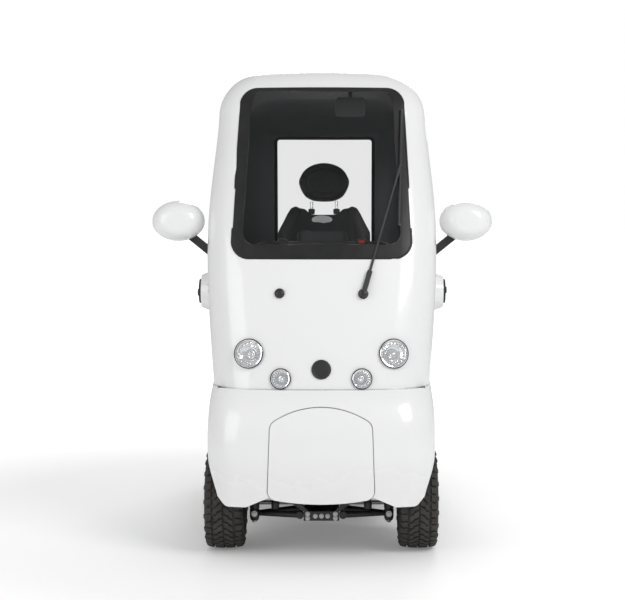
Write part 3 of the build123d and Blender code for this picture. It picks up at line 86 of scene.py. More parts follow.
# %% Node trees as expressions
class Value:
    """One output of a node tree, used like a number in Python."""

    def __init__(self, graph, socket):
        self.graph = graph
        self.socket = socket

    def math(self, operation, *others):
        return self.graph.math(operation, self, *others)

    def __add__(self, other):
        return self.math("ADD", other)

    def __mul__(self, other):
        return self.math("MULTIPLY", other)

    __radd__ = __add__
    __rmul__ = __mul__

    def __sub__(self, other):
        return self.math("SUBTRACT", other)

    def __rsub__(self, other):
        return self.graph.math("SUBTRACT", other, self)

    def __truediv__(self, other):
        return self.math("DIVIDE", other)

    def __gt__(self, other):
        return self.math("GREATER_THAN", other)

    def clamp(self):
        return self.math("MAXIMUM", 0).math("MINIMUM", 1)


class Graph:
    """A node tree that is built by calls and expressions."""

    def __init__(self, tree):
        self.tree = tree

    def feed(self, socket, value):
        if isinstance(value, Value):
            self.tree.links.new(value.socket, socket)
        else:
            socket.default_value = value

    def node(self, kind, settings=None, inputs=None, output=0):
        made = self.tree.nodes.new(kind)
        for name, value in (settings or {}).items():
            if name == "stops":
                while len(made.color_ramp.elements) < len(value):
                    made.color_ramp.elements.new(1)
                for stop, (place, tint) in zip(made.color_ramp.elements, value):
                    stop.position = place
                    stop.color = tint
            else:
                setattr(made, name, value)
        for name, value in (inputs or {}).items():
            self.feed(made.inputs[name], value)
        return Value(self, made.outputs[output])

    def math(self, operation, *values):
        return self.node("ShaderNodeMath", {"operation": operation}, dict(enumerate(values)))


# %% [markdown]
# A finish is one material. Its fixed numbers go straight on the shader's own sockets. Only what varies
# over the surface, such as a speckle, a grain or a little dust, comes from nodes, all in Object
# coordinates, so that the pattern has its real size in metres.

# %% A finish
SOCKETS = {
    "color": "Base Color", "rough": "Roughness", "metal": "Metallic", "coat": "Coat Weight",
    "coat_rough": "Coat Roughness", "alpha": "Alpha", "sheen": "Sheen Weight", "glow": "Emission Color",
    "specular": "Specular IOR Level", "normal": "Normal",
}


class Finish(Graph):
    """A material written as named values and patterns."""

    def __init__(self, name, **values):
        self.material = bpy.data.materials.new(name)
        self.material.use_nodes = True
        super().__init__(self.material.node_tree)
        self.shader = self.tree.nodes["Principled BSDF"]
        self.place = self.node("ShaderNodeTexCoord", output="Object")
        self.set(**values)

    def set(self, **values):
        for name, value in values.items():
            if name in ("color", "glow") and not isinstance(value, Value):
                value = (*value, 1)
            self.feed(self.shader.inputs[SOCKETS[name]], value)

    def noise(self, size, detail=2.0, stretch=None):
        """Noise from 0 to 1 whose lumps are about as large as size, in metres."""
        place = self.place
        if stretch:
            place = self.node("ShaderNodeVectorMath", {"operation": "MULTIPLY"}, {0: place, 1: stretch})
        inputs = {"Vector": place, "Scale": 1 / size, "Detail": detail}
        return self.node("ShaderNodeTexNoise", None, inputs, "Fac")

    def cells(self, size, feature, output="Distance"):
        """Voronoi cells of about that size, in metres."""
        inputs = {"Vector": self.place, "Scale": 1 / size}
        return self.node("ShaderNodeTexVoronoi", {"feature": feature}, inputs, output)

    def axis(self, name):
        """One coordinate of the surface, in metres."""
        return self.node("ShaderNodeSeparateXYZ", None, {"Vector": self.place}, name)

    def mix(self, factor, first, second):
        """A colour between two colours."""
        first, second = (v if isinstance(v, Value) else (*v, 1) for v in (first, second))
        inputs = {0: factor, 6: first, 7: second}
        return self.node("ShaderNodeMix", {"data_type": "RGBA"}, inputs, 2)

    def bump(self, height, depth, strength=1.0):
        """Lets a height pattern, from 0 to 1, tilt the light as relief that is depth metres deep."""
        inputs = {"Height": height, "Distance": depth, "Strength": strength}
        self.set(normal=self.node("ShaderNodeBump", None, inputs))


# %% [markdown]
# The cab is moulded plastic under a clear gloss. A very fine orange peel breaks the reflections, and a
# trace of road dust greys the lowest part.

# %% Body finish
def gloss_white():
    finish = Finish("body_white", coat=0.6, coat_rough=0.06, specular=0.4)
    low = ((0.34 - finish.axis("Z")) / 0.2).clamp()
    dust = low * finish.noise(0.05, 4) * 0.35
    finish.set(color=finish.mix(dust, (0.86, 0.862, 0.865), (0.62, 0.6, 0.57)))
    finish.set(rough=0.2 + finish.noise(0.3, 3) * 0.08 + dust * 0.5)
    finish.bump(finish.noise(0.0035, 1), 0.00003, 0.35)
    return finish


# %% [markdown]
# Black plastics differ by their moulded grain: trim is almost smooth, and the dashboard has a leathery
# grain. Lining felt is a fuzz of short fibres, and rubber is matt with a faint bloom.

# %% Plastic, felt and rubber finishes
def satin_black(name="black_trim", tint=(0.017, 0.017, 0.018), rough=0.36):
    finish = Finish(name, specular=0.45)
    finish.set(color=finish.mix(finish.noise(0.08, 3), tint, tuple(1.7 * c for c in tint)))
    finish.set(rough=rough + finish.noise(0.02, 4) * 0.12)
    finish.bump(finish.noise(0.0012, 2), 0.00008, 0.5)
    return finish


def grained_black(name, tint, grain=0.0022):
    finish = Finish(name, specular=0.4)
    cell = finish.cells(grain, "SMOOTH_F1")
    worn = finish.noise(0.12, 4)
    finish.set(color=finish.mix(worn, tint, tuple(1.6 * c for c in tint)))
    finish.set(rough=0.46 + cell * 0.2 + worn * 0.1)
    finish.bump(cell, 0.0004, 0.7)
    return finish


def felt(name="grey_lining", tint=(0.09, 0.092, 0.097)):
    finish = Finish(name, rough=0.95, sheen=0.35, specular=0.2)
    fibre = finish.noise(0.0016, 3, (1, 0.25, 1)) * 0.5 + finish.noise(0.0016, 3, (0.25, 1, 0.6)) * 0.5
    finish.set(color=finish.mix(fibre, tuple(0.6 * c for c in tint), tuple(1.6 * c for c in tint)))
    finish.bump(fibre, 0.0009, 0.8)
    return finish


def rubber(name="seal_rubber", tint=(0.012, 0.012, 0.012), rough=0.5):
    finish = Finish(name, specular=0.25)
    bloom = finish.noise(0.05, 5)
    finish.set(color=finish.mix(bloom, tint, tuple(2.2 * c for c in tint)))
    finish.set(rough=rough + bloom * 0.15)
    finish.bump(finish.noise(0.0015, 2), 0.0001, 0.5)
    return finish


def tyre_compound():
    """Dark compound, with patches of dry dust."""
    finish = Finish("tyre_rubber", specular=0.35)
    dust = (finish.noise(0.03, 5) * 1.6 - 0.5).clamp()
    finish.set(color=finish.mix(dust, (0.028, 0.027, 0.026), (0.085, 0.08, 0.072)))
    finish.set(rough=0.62 + dust * 0.25)
    finish.bump(finish.noise(0.002, 3), 0.00025, 0.6)
    return finish


# %% [markdown]
# Window glass is almost open, under a clear gloss that reflects. Lamp lenses have moulded flutes, and their
# white colour grows more opaque where they are seen edge on, a share that Layer Weight gives: this is a
# painted reflection. Tail lamps change colour with height.

# %% Glass and lens finishes
def pane():
    tint = (0.03, 0.035, 0.035)
    return Finish("clear_glass", color=tint, rough=0.02, coat=1.0, coat_rough=0.01, alpha=0.06)


def fluted_lens():
    finish = Finish("lens_clear", color=(0.9, 0.92, 0.94), rough=0.04, coat=1.0, coat_rough=0.02)
    facing = finish.node("ShaderNodeLayerWeight", None, {"Blend": 0.4}, "Facing")
    # Painted reflection: the lens's white colour grows more opaque edge on, where a clear lens would reflect
    finish.set(alpha=0.07 + facing * 0.35)
    finish.bump((finish.axis("X") * 900).math("SINE") * 0.5 + 0.5, 0.0008, 0.5)
    return finish


def tail_lens():
    """Red above, amber in the middle and clear below, with a square prism grid inside."""
    finish = Finish("tail_red", rough=0.08, coat=1.0, coat_rough=0.03, specular=0.6)
    height = finish.axis("Z")
    upper = finish.mix(height > 0.66, (0.75, 0.2, 0.01), (0.5, 0.008, 0.01))
    tint = finish.mix(height > 0.59, (0.7, 0.7, 0.7), upper)
    prism = (finish.axis("X") * 785).math("SINE") * (height * 785).math("SINE") * 0.5 + 0.5
    finish.set(color=finish.mix(prism * 0.35, tint, (0.02, 0.02, 0.02)))
    finish.bump(prism, 0.001, 0.6)
    return finish


# %% [markdown]
# Metals: powder-coated tube, brushed steel, painted aluminium and chrome. The coat on the tubes has a
# fine pebbled skin, and steel shows long scratches.

# %% Metal finishes
def powder_coat():
    finish = Finish("frame_black", specular=0.5)
    dust = (finish.noise(0.06, 5) * 1.5 - 0.55).clamp()
    finish.set(color=finish.mix(dust, (0.016, 0.016, 0.017), (0.07, 0.066, 0.06)))
    finish.set(rough=0.34 + dust * 0.4)
    finish.bump(finish.noise(0.0018, 2), 0.00012, 0.6)
    return finish


def brushed(name, tint, rough, metal=1.0):
    finish = Finish(name, metal=metal)
    scratch = finish.noise(0.004, 3, (0.06, 1, 1))
    spots = finish.noise(0.04, 4)
    finish.set(color=finish.mix(spots, tint, tuple(0.8 * c for c in tint)))
    finish.set(rough=rough + scratch * 0.18)
    finish.bump(scratch, 0.00005, 0.5)
    return finish


def polished(name, tint, rough=0.05):
    finish = Finish(name, color=tint, metal=1.0)
    finish.set(rough=rough + finish.noise(0.02, 3) * 0.05)
    return finish


# %% [markdown]
# The seat has two black covers: smooth grained vinyl on the bolsters and a knitted mesh on the middle
# panels. The knit is two crossed sine waves, so it has the same scale on every pad.

# %% Seat finishes
def vinyl():
    finish = Finish("seat_vinyl", specular=0.4, sheen=0.05)
    cell = finish.cells(0.0028, "SMOOTH_F1")
    fold = finish.noise(0.09, 4)
    finish.set(color=finish.mix(fold, (0.017, 0.017, 0.018), (0.034, 0.033, 0.034)))
    finish.set(rough=0.4 + cell * 0.25 + fold * 0.1)
    finish.bump(cell + fold * 0.4, 0.0004, 0.7)
    return finish


def knit():
    finish = Finish("seat_knit", rough=0.85, sheen=0.3, specular=0.25)
    side = finish.axis("X") * 1250
    up = (finish.axis("Z") + finish.axis("Y") * 0.8) * 1250
    stitch = side.math("SINE") * up.math("SINE") * 0.5 + 0.5
    fuzz = finish.noise(0.002, 3)
    finish.set(color=finish.mix(stitch * 0.7 + fuzz * 0.3, (0.012, 0.012, 0.013), (0.045, 0.045, 0.048)))
    finish.bump(stitch, 0.0006, 0.8)
    return finish


def plain(name, tint, rough=0.4, **more):
    """A small moulded piece with a slight mottle."""
    finish = Finish(name, **more)
    mottle = finish.noise(0.01, 3)
    finish.set(color=finish.mix(mottle, tint, tuple(0.8 * c for c in tint)))
    finish.set(rough=rough + mottle * 0.08)
    return finish


finishes = {
    "body_white": gloss_white(),
    "black_trim": satin_black(),
    "grey_lining": felt(),
    "dash_black": grained_black("dash_black", (0.022, 0.022, 0.024)),
    "seal_rubber": rubber(rough=0.3),
    "clear_glass": pane(),
    "mirror_glass": polished("mirror_glass", (0.82, 0.84, 0.86), 0.01),
    "lamp_chrome": polished("lamp_chrome", (0.86, 0.87, 0.88)),
    "lens_clear": fluted_lens(),
    "tail_red": tail_lens(),
    "frame_black": powder_coat(),
    "bright_steel": brushed("bright_steel", (0.55, 0.55, 0.56), 0.24),
    "rim_silver": brushed("rim_silver", (0.62, 0.63, 0.65), 0.3, 0.85),
    "tyre_rubber": tyre_compound(),
    "seat_cover": vinyl(),
    "seat_knit": knit(),
    "battery_case": grained_black("battery_case", (0.06, 0.06, 0.065)),
    "switch_red": plain("switch_red", (0.55, 0.015, 0.012), 0.3, coat=0.4),
    "light_amber": plain("light_amber", (0.8, 0.28, 0.02), 0.25, coat=0.8),
    "light_green": plain("light_green", (0.05, 0.5, 0.12), 0.25, coat=0.8),
    "screen_grey": plain("screen_grey", (0.11, 0.13, 0.12), 0.12, coat=1.0),
    "badge_grey": brushed("badge_grey", (0.72, 0.73, 0.74), 0.25, 0.6),
    "thread_grey": plain("thread_grey", (0.12, 0.12, 0.125), 0.8),
    "copper": brushed("copper", (0.7, 0.36, 0.2), 0.3),
}
for entry in frame["record"]["subparts"]:
    nodes[entry["node"]].data.materials.clear()
    nodes[entry["node"]].data.materials.append(finishes[entry["material_slot"]].material)
print(len(finishes), "finishes")

# %% [markdown]
# The stage is a white floor under a white sky. The camera sees the sky at full white, and the floor's own
# glow grows with distance until both meet. The light on the scooter stays plain: a soft key from the right
# and above, a weaker fill from the left, a lamp behind, and the sky.

# %% Stage and light
SKY = 0.49
FLOOR_SIZE = 80
NEAR_LIFT = 0.16
FAR_LIFT = 0.75
FAR_START = 1.3
FAR_BLEND = 2.6
LAMPS = [
    # name, place, aim, size, watts
    ("key", (3.2, -3.6, 3.6), (0, 0, 0.5), 2.2, 116),
    ("fill", (-3.8, -3.6, 1.9), (0, 0, 0.8), 3.2, 62),
    ("back", (0.6, 4.6, 3.2), (0, 0, 0.8), 3.0, 105),
]


def seen_directly(graph):
    """1 where the camera sees the surface, straight or through glass."""
    kinds = ("Is Camera Ray", "Is Transmission Ray")
    camera_ray, open_ray = (graph.node("ShaderNodeLightPath", output=kind) for kind in kinds)
    return (camera_ray + open_ray).clamp()


def white_world():
    world = bpy.data.worlds.new("sky")
    world.use_nodes = True
    graph = Graph(world.node_tree)
    background = world.node_tree.nodes["Background"]
    background.inputs["Color"].default_value = (1, 1, 1, 1)
    graph.feed(background.inputs["Strength"], SKY + seen_directly(graph) * (1 - SKY))
    bpy.context.scene.world = world


def white_floor():
    corners = [(-1, -1), (1, -1), (1, 1), (-1, 1)]
    mesh = bpy.data.meshes.new("floor")
    mesh.from_pydata([(FLOOR_SIZE * x, FLOOR_SIZE * y, 0) for x, y in corners], [], [(0, 1, 2, 3)])
    floor = bpy.data.objects.new("floor", mesh)
    bpy.context.scene.collection.objects.link(floor)
    finish = Finish("floor_white", color=(0.93, 0.93, 0.93), rough=0.7, specular=0.2, glow=(1, 1, 1))
    away = finish.node("ShaderNodeVectorMath", {"operation": "LENGTH"}, {0: finish.place}, "Value")
    far = ((away - FAR_START) / FAR_BLEND).clamp()
    lift = NEAR_LIFT + far * (FAR_LIFT - NEAR_LIFT)
    finish.feed(finish.shader.inputs["Emission Strength"], seen_directly(finish) * lift)
    mesh.materials.append(finish.material)


def area_light(name, place, aim, size, watts):
    lamp = bpy.data.objects.new(name, bpy.data.lights.new(name, "AREA"))
    lamp.data.size = size
    lamp.data.energy = watts
    lamp.location = place
    lamp.rotation_euler = (Vector(aim) - Vector(place)).to_track_quat("-Z", "Y").to_euler()
    bpy.context.scene.collection.objects.link(lamp)


white_world()
white_floor()
for lamp in LAMPS:
    area_light(*lamp)

# %% [markdown]
# Most small pieces are one of three shapes: a profile turned about an axis, an outline with depth, or a
# line with thickness. The first two are made with bmesh. Each result is a plain mesh already in its
# place.

# %% Turned, cut and smoothed shapes
STEPS = 48
SHARP = math.radians(35)
MERGE = 0.00001


def to_mesh(name, shape, smooth=True):
    """A mesh from a bmesh, with its doubles merged, its faces outwards and its hard edges kept hard."""
    bmesh.ops.remove_doubles(shape, verts=shape.verts, dist=MERGE)
    bmesh.ops.recalc_face_normals(shape, faces=shape.faces)
    mesh = bpy.data.meshes.new(name)
    shape.to_mesh(mesh)
    shape.free()
    if smooth:
        mesh.shade_smooth()
        mesh.set_sharp_from_angle(angle=SHARP)
    return mesh


def frame_at(place, axis, across=None):
    """A matrix at a place whose local Z is the axis, and whose local X is as near as can be to across."""
    up = Vector(axis).normalized()
    side = Vector(across) if across else up.orthogonal()
    side = (side - up * side.dot(up)).normalized()
    turn = Matrix((side, up.cross(side), up)).transposed().to_4x4()
    return Matrix.Translation(place) @ turn


def turned(name, profile, where, steps=STEPS, smooth=True):
    """A profile of (along, radius) points turned about the local Z of a matrix."""
    shape = bmesh.new()
    rings = []
    for step in range(steps):
        angle = math.tau * step / steps
        rim = [Vector((r * math.cos(angle), r * math.sin(angle), along)) for along, r in profile]
        rings.append([shape.verts.new(where @ point) for point in rim])
    for ring, after in zip(rings, rings[1:] + rings[:1]):
        for k in range(len(profile) - 1):
            shape.faces.new((ring[k], after[k], after[k + 1], ring[k + 1]))
    return to_mesh(name, shape, smooth)


def plate(name, outline, depth, where, bevel=0.0):
    """A flat outline of (x, y) points given depth along the local Z, with rounded edges."""
    shape = bmesh.new()
    low = [shape.verts.new(where @ Vector((x, y, 0))) for x, y in outline]
    high = [shape.verts.new(where @ Vector((x, y, depth))) for x, y in outline]
    shape.faces.new(low[::-1])
    shape.faces.new(high)
    for k in range(len(outline)):
        after = (k + 1) % len(outline)
        shape.faces.new((low[k], low[after], high[after], high[k]))
    if bevel:
        rims = [edge for edge in shape.edges if len({v in low for v in edge.verts}) == 1]
        bmesh.ops.bevel(shape, geom=rims, offset=bevel, segments=3, affect="EDGES", profile=0.5)
    return to_mesh(name, shape)


def rounded(corners, radius, steps=6):
    """A closed outline whose corners are arcs."""
    outline = []
    count = len(corners)
    for k in range(count):
        before, here, after = (Vector(corners[(k + d) % count]) for d in (-1, 0, 1))
        enter, leave = (before - here).normalized(), (after - here).normalized()
        half = enter.angle(leave) / 2
        centre = here + (enter + leave).normalized() * (radius / math.sin(half))
        first = here + enter * (radius / math.tan(half)) - centre
        last = here + leave * (radius / math.tan(half)) - centre
        for step in range(steps + 1):
            outline.append(centre + first.lerp(last, step / steps).normalized() * radius)
    return [tuple(point) for point in outline]


def rectangle(half_x, half_y, radius, middle=(0, 0)):
    """A rounded rectangle outline."""
    x, y = middle
    corners = [(x + a * half_x, y + b * half_y) for a, b in ((-1, -1), (1, -1), (1, 1), (-1, 1))]
    return rounded(corners, radius)


def smooth_line(points, steps=8):
    """Points on a smooth curve that passes through the points given."""
    points = [Vector(point) for point in points]
    padded = [2 * points[0] - points[1], *points, 2 * points[-1] - points[-2]]
    curve = []
    for a, b, c, d in zip(padded, padded[1:], padded[2:], padded[3:]):
        for step in range(steps):
            t = step / steps
            curve.append(b + 0.5 * t * (c - a + t * (2 * a - 5 * b + 4 * c - d + t * (3 * (b - c) + d - a))))
    return curve + [points[-1]]


def joined(name, *meshes):
    """One mesh from several."""
    shape = bmesh.new()
    for mesh in meshes:
        shape.from_mesh(mesh)
    whole = bpy.data.meshes.new(name)
    shape.to_mesh(whole)
    shape.free()
    return whole


def piece(name, mesh, body, slot, finish=None, replaces=()):
    """Makes a mesh a piece of the scooter: it rides on a body and takes its finish."""
    mesh.materials.clear()
    mesh.materials.append(finishes[finish or slot].material)
    obj = bpy.data.objects.new(name, mesh)
    bpy.context.scene.collection.objects.link(obj)
    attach(obj, body)
    if replaces:
        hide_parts(*replaces)
    return obj


# %% [markdown]
# Pieces sit on the moulded skin, so they need its exact place and slope. A Surface answers that: it
# shoots a ray at CAD nodes and gives the point it meets and the way the skin faces there. Nodes that hold
# several solids are split by what touches what, to read each lamp or spring by itself.

# %% Reading the frame
REACH = 3.0


class Surface:
    """The outside of some CAD nodes."""

    def __init__(self, *names):
        points, faces = [], []
        for name in names:
            mesh = nodes[name].data
            first = len(points)
            points += [v.co.copy() for v in mesh.vertices]
            faces += [[first + k for k in face.vertices] for face in mesh.polygons]
        self.tree = BVHTree.FromPolygons(points, faces)

    def meet(self, start, direction):
        """Where a ray first meets the surface, and the outward normal there."""
        direction = Vector(direction).normalized()
        point, normal, _, _ = self.tree.ray_cast(Vector(start), direction, 2 * REACH)
        if point is None:
            raise ValueError(f"no surface from {tuple(start)} along {tuple(direction)}")
        return point, normal if normal.dot(direction) < 0 else -normal

    def front(self, x, z):
        return self.meet((x, -REACH, z), (0, 1, 0))

    def rear(self, x, z):
        return self.meet((x, REACH, z), (0, -1, 0))

    def side(self, sign, y, z):
        return self.meet((sign * REACH, y, z), (-sign, 0, 0))


def solids(name):
    """The box of each separate solid of a CAD node, as (low, high) corners."""
    shape = bmesh.new()
    shape.from_mesh(nodes[name].data)
    bmesh.ops.remove_doubles(shape, verts=shape.verts, dist=MERGE)
    left = set(shape.verts)
    boxes = []
    while left:
        group = [left.pop()]
        for vert in group:
            for edge in vert.link_edges:
                other = edge.other_vert(vert)
                if other in left:
                    left.remove(other)
                    group.append(other)
        places = [vert.co for vert in group]
        low = Vector([min(p[k] for p in places) for k in range(3)])
        high = Vector([max(p[k] for p in places) for k in range(3)])
        boxes.append((low, high))
    shape.free()
    return boxes


# %% [markdown]
# Geometry Nodes make what repeats or follows a line. Five small trees are enough: copies in a ring, in a
# row or on given points, and a tube or stitches along a line. Each has named inputs, and ends in Realize
# Instances and Set Material, so that the result is one plain mesh.

# %% Geometry trees
class Recipe(Graph):
    """A geometry tree with named inputs."""

    def __init__(self, name, **inputs):
        super().__init__(bpy.data.node_groups.new(name, "GeometryNodeTree"))
        ends = self.tree.interface
        ends.new_socket("Shape", in_out="INPUT", socket_type="NodeSocketGeometry")
        for label, kind in inputs.items():
            ends.new_socket(label, in_out="INPUT", socket_type="NodeSocket" + kind)
        ends.new_socket("finish", in_out="INPUT", socket_type="NodeSocketMaterial")
        ends.new_socket("Shape", in_out="OUTPUT", socket_type="NodeSocketGeometry")
        self.entry = self.tree.nodes.new("NodeGroupInput")

    def __getitem__(self, label):
        return Value(self, self.entry.outputs[label])

    def end(self, shape):
        """Closes the tree: real geometry with its material."""
        whole = self.node("GeometryNodeRealizeInstances", None, {0: shape})
        painting = {"Geometry": whole, "Material": self["finish"]}
        painted = self.node("GeometryNodeSetMaterial", None, painting)
        self.tree.links.new(painted.socket, self.tree.nodes.new("NodeGroupOutput").inputs[0])

    def make(self, name, data, finish, **values):
        """Runs the tree on a mesh or a curve and returns a plain mesh."""
        carrier = bpy.data.objects.new(name, data)
        bpy.context.scene.collection.objects.link(carrier)
        modifier = carrier.modifiers.new(name, "NODES")
        modifier.node_group = self.tree
        values["finish"] = finishes[finish].material
        for item in self.tree.interface.items_tree:
            if item.in_out == "INPUT" and item.name in values:
                modifier[item.identifier] = values[item.name]
        graph = bpy.context.evaluated_depsgraph_get()
        mesh = bpy.data.meshes.new_from_object(carrier.evaluated_get(graph), depsgraph=graph)
        carrier.modifiers.remove(modifier)
        bpy.data.objects.remove(carrier)
        return mesh


def ring_recipe():
    """Copies of a shape, turned in equal steps about an axis through a centre."""
    tree = Recipe("copies_in_ring", count="Int", centre="Vector", axis="Vector")
    index = tree.node("GeometryNodeInputIndex")
    angle = index * (math.tau) / tree["count"]
    turn = tree.node("FunctionNodeAxisAngleToRotation", None, {"Axis": tree["axis"], "Angle": angle})
    back = tree.node("ShaderNodeVectorMath", {"operation": "SCALE"}, {0: tree["centre"], "Scale": -1})
    centred = tree.node("GeometryNodeTransform", None, {"Geometry": tree["Shape"], "Translation": back})
    points = tree.node("GeometryNodePoints", None, {"Count": tree["count"]})
    copies = {"Points": points, "Instance": centred, "Rotation": turn}
    copies = tree.node("GeometryNodeInstanceOnPoints", None, copies)
    placed = tree.node("GeometryNodeTransform", None, {"Geometry": copies, "Translation": tree["centre"]})
    tree.end(placed)
    return tree


def row_recipe():
    """Copies of a shape along a straight step."""
    tree = Recipe("copies_in_row", count="Int", step="Vector")
    steps = {"Count": tree["count"], "Offset": tree["step"]}
    line = tree.node("GeometryNodeMeshLine", {"mode": "OFFSET"}, steps)
    tree.end(tree.node("GeometryNodeInstanceOnPoints", None, {"Points": line, "Instance": tree["Shape"]}))
    return tree


def points_recipe():
    """A copy of an object on each point, with its Z along the point's own facing."""
    tree = Recipe("copies_on_points", copy="Object")
    facing = tree.node("GeometryNodeInputNamedAttribute", {"data_type": "FLOAT_VECTOR"}, {"Name": "facing"})
    turn = tree.node("FunctionNodeAlignRotationToVector", {"axis": "Z"}, {"Vector": facing})
    shape = tree.node("GeometryNodeObjectInfo", None, {"Object": tree["copy"]}, "Geometry")
    copies = {"Points": tree["Shape"], "Instance": shape, "Rotation": turn}
    tree.end(tree.node("GeometryNodeInstanceOnPoints", None, copies))
    return tree


def tube_recipe():
    """A round tube along a line."""
    tree = Recipe("tube_on_line", radius="Float", sides="Int")
    size = {"Resolution": tree["sides"], "Radius": tree["radius"]}
    circle = tree.node("GeometryNodeCurvePrimitiveCircle", None, size)
    tube = {"Curve": tree["Shape"], "Profile Curve": circle, "Fill Caps": True}
    tree.end(tree.node("GeometryNodeCurveToMesh", None, tube))
    return tree


def stitch_recipe():
    """Small thread stitches laid end to end along a line."""
    tree = Recipe("stitches_on_line", spacing="Float", length="Float", thread="Float")
    points = {"Curve": tree["Shape"], "Length": tree["spacing"]}
    line = tree.node("GeometryNodeResampleCurve", {"mode": "LENGTH"}, points)
    tangent = tree.node("GeometryNodeInputTangent")
    turn = tree.node("FunctionNodeAlignRotationToVector", {"axis": "Z"}, {"Vector": tangent})
    bead = tree.node("GeometryNodeMeshUVSphere", None, {"Segments": 6, "Rings": 4, "Radius": 0.5})
    sizes = {0: tree["thread"], 1: tree["thread"], 2: tree["length"]}
    size = tree.node("ShaderNodeCombineXYZ", None, sizes)
    thread = tree.node("GeometryNodeTransform", None, {"Geometry": bead, "Scale": size})
    stitches = {"Points": line, "Instance": thread, "Rotation": turn}
    tree.end(tree.node("GeometryNodeInstanceOnPoints", None, stitches))
    return tree


ring_of, row_of, points_of = ring_recipe(), row_recipe(), points_recipe()
tube_on, stitches_on = tube_recipe(), stitch_recipe()


def line_curve(points, closed=False):
    """A curve through points, as the carrier of a tube or of stitches."""
    data = bpy.data.curves.new("line", "CURVE")
    data.dimensions = "3D"
    spline = data.splines.new("POLY")
    spline.points.add(len(points) - 1)
    for point, place in zip(spline.points, points):
        point.co = (*place, 1)
    spline.use_cyclic_u = closed
    return data


def tube(name, points, radius, finish, closed=False, sides=10):
    mesh = tube_on.make(name, line_curve(points, closed), finish, radius=radius, sides=sides)
    mesh.shade_smooth()
    mesh.set_sharp_from_angle(angle=math.radians(60))
    return mesh


def marked_points(places):
    """A mesh of loose points, each with the way it faces."""
    mesh = bpy.data.meshes.new("points")
    mesh.from_pydata([tuple(place) for place, _ in places], [], [])
    facing = mesh.attributes.new("facing", "FLOAT_VECTOR", "POINT")
    for entry, (_, normal) in zip(facing.data, places):
        entry.vector = normal
    return mesh


def copies(name, pattern, places, finish):
    """One mesh with a copy of a pattern mesh on every (place, normal)."""
    source = bpy.data.objects.new("pattern", pattern)
    mesh = points_of.make(name, marked_points(places), finish, copy=source)
    bpy.data.objects.remove(source)
    return mesh


print("five geometry trees")

# %% [markdown]
# The tyres carry a chunky all-terrain tread: slanted Z-shaped blocks either side of the middle, a groove,
# and shoulder lugs that wrap onto the side. One pitch of the pattern is drawn as a few slanted blocks,
# and the ring tree repeats it twenty times round the carcass.

# %% Tyre sizes
wheel_low, wheel_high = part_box("tyre_front_left")
TYRE_RADIUS = (wheel_high.z - wheel_low.z) / 2
TYRE_HALF = (wheel_high.x - wheel_low.x) / 2
BEAD_RADIUS = 0.0765
BEAD_HALF = 0.0435
TREAD_HALF = 0.050
CROWN_DROP = 0.004
SHOULDER_IN = 0.020
GROOVE = 0.0062
PITCHES = 20
LUG_EDGE = 0.0011
WRAP = math.radians(62)


def tread_point(across, depth):
    """The (x, radius) of a tread spot: across is 0 at the crown, 1 at the edge, up to 2 on the side."""
    side = math.copysign(1, across)
    share = min(abs(across), 1)
    x, radius = share * TREAD_HALF, TYRE_RADIUS - CROWN_DROP * share**2
    bend = max(abs(across) - 1, 0)
    x += (TYRE_HALF - TREAD_HALF) * math.sin(bend * math.pi / 2)
    radius -= SHOULDER_IN * (1 - math.cos(bend * math.pi / 2))
    lean = WRAP * bend
    return side * (x - depth * math.sin(lean)), radius - depth * math.cos(lean)


# %% Tyre carcass
SIDE_PROFILE = [
    # x, radius, from the shoulder down to the bead, with the rim protector and two raised rings
    (0.0610, 0.1360), (0.0628, 0.1290), (0.0630, 0.1230), (0.0618, 0.1185),
    (0.0624, 0.1165), (0.0612, 0.1140), (0.0590, 0.1060), (0.0570, 0.1010),
    (0.0576, 0.0985), (0.0560, 0.0955), (0.0535, 0.0915), (0.0490, 0.0885),
    (BEAD_HALF, 0.0872), (BEAD_HALF, BEAD_RADIUS),
]
CROWN_STOPS = [k / 6 for k in range(10)]


def carcass():
    half = [tread_point(across, GROOVE) for across in CROWN_STOPS] + SIDE_PROFILE
    whole = [(-x, radius) for x, radius in half[::-1]] + half[1:]
    return turned("carcass", whole + whole[:1], frame_at((0, 0, 0), (1, 0, 0)), steps=96)


# %% Tread blocks
TREAD_PITCH = [
    # stations of each block: how far across the tread, and where it starts and ends round it, in pitches
    [(-0.62, 0.00, 0.36), (-0.42, 0.06, 0.42), (-0.34, 0.20, 0.58), (-0.05, 0.34, 0.72)],
    [(-0.62, 0.50, 0.84), (-0.42, 0.56, 0.90), (-0.34, 0.72, 1.06), (-0.05, 0.86, 1.20)],
    [(0.62, 0.25, 0.61), (0.42, 0.31, 0.67), (0.34, 0.45, 0.83), (0.05, 0.59, 0.97)],
    [(0.62, 0.75, 1.09), (0.42, 0.81, 1.15), (0.34, 0.97, 1.31), (0.05, 1.11, 1.45)],
    [(-0.76, 0.08, 0.46), (-1.00, 0.02, 0.44), (-1.40, 0.04, 0.42), (-1.85, 0.08, 0.38)],
    [(-0.76, 0.58, 0.94), (-1.00, 0.55, 0.90), (-1.30, 0.57, 0.88), (-1.50, 0.62, 0.84)],
    [(0.76, 0.33, 0.71), (1.00, 0.27, 0.69), (1.40, 0.29, 0.67), (1.85, 0.33, 0.63)],
    [(0.76, 0.83, 1.19), (1.00, 0.80, 1.15), (1.30, 0.82, 1.13), (1.50, 0.87, 1.09)],
]


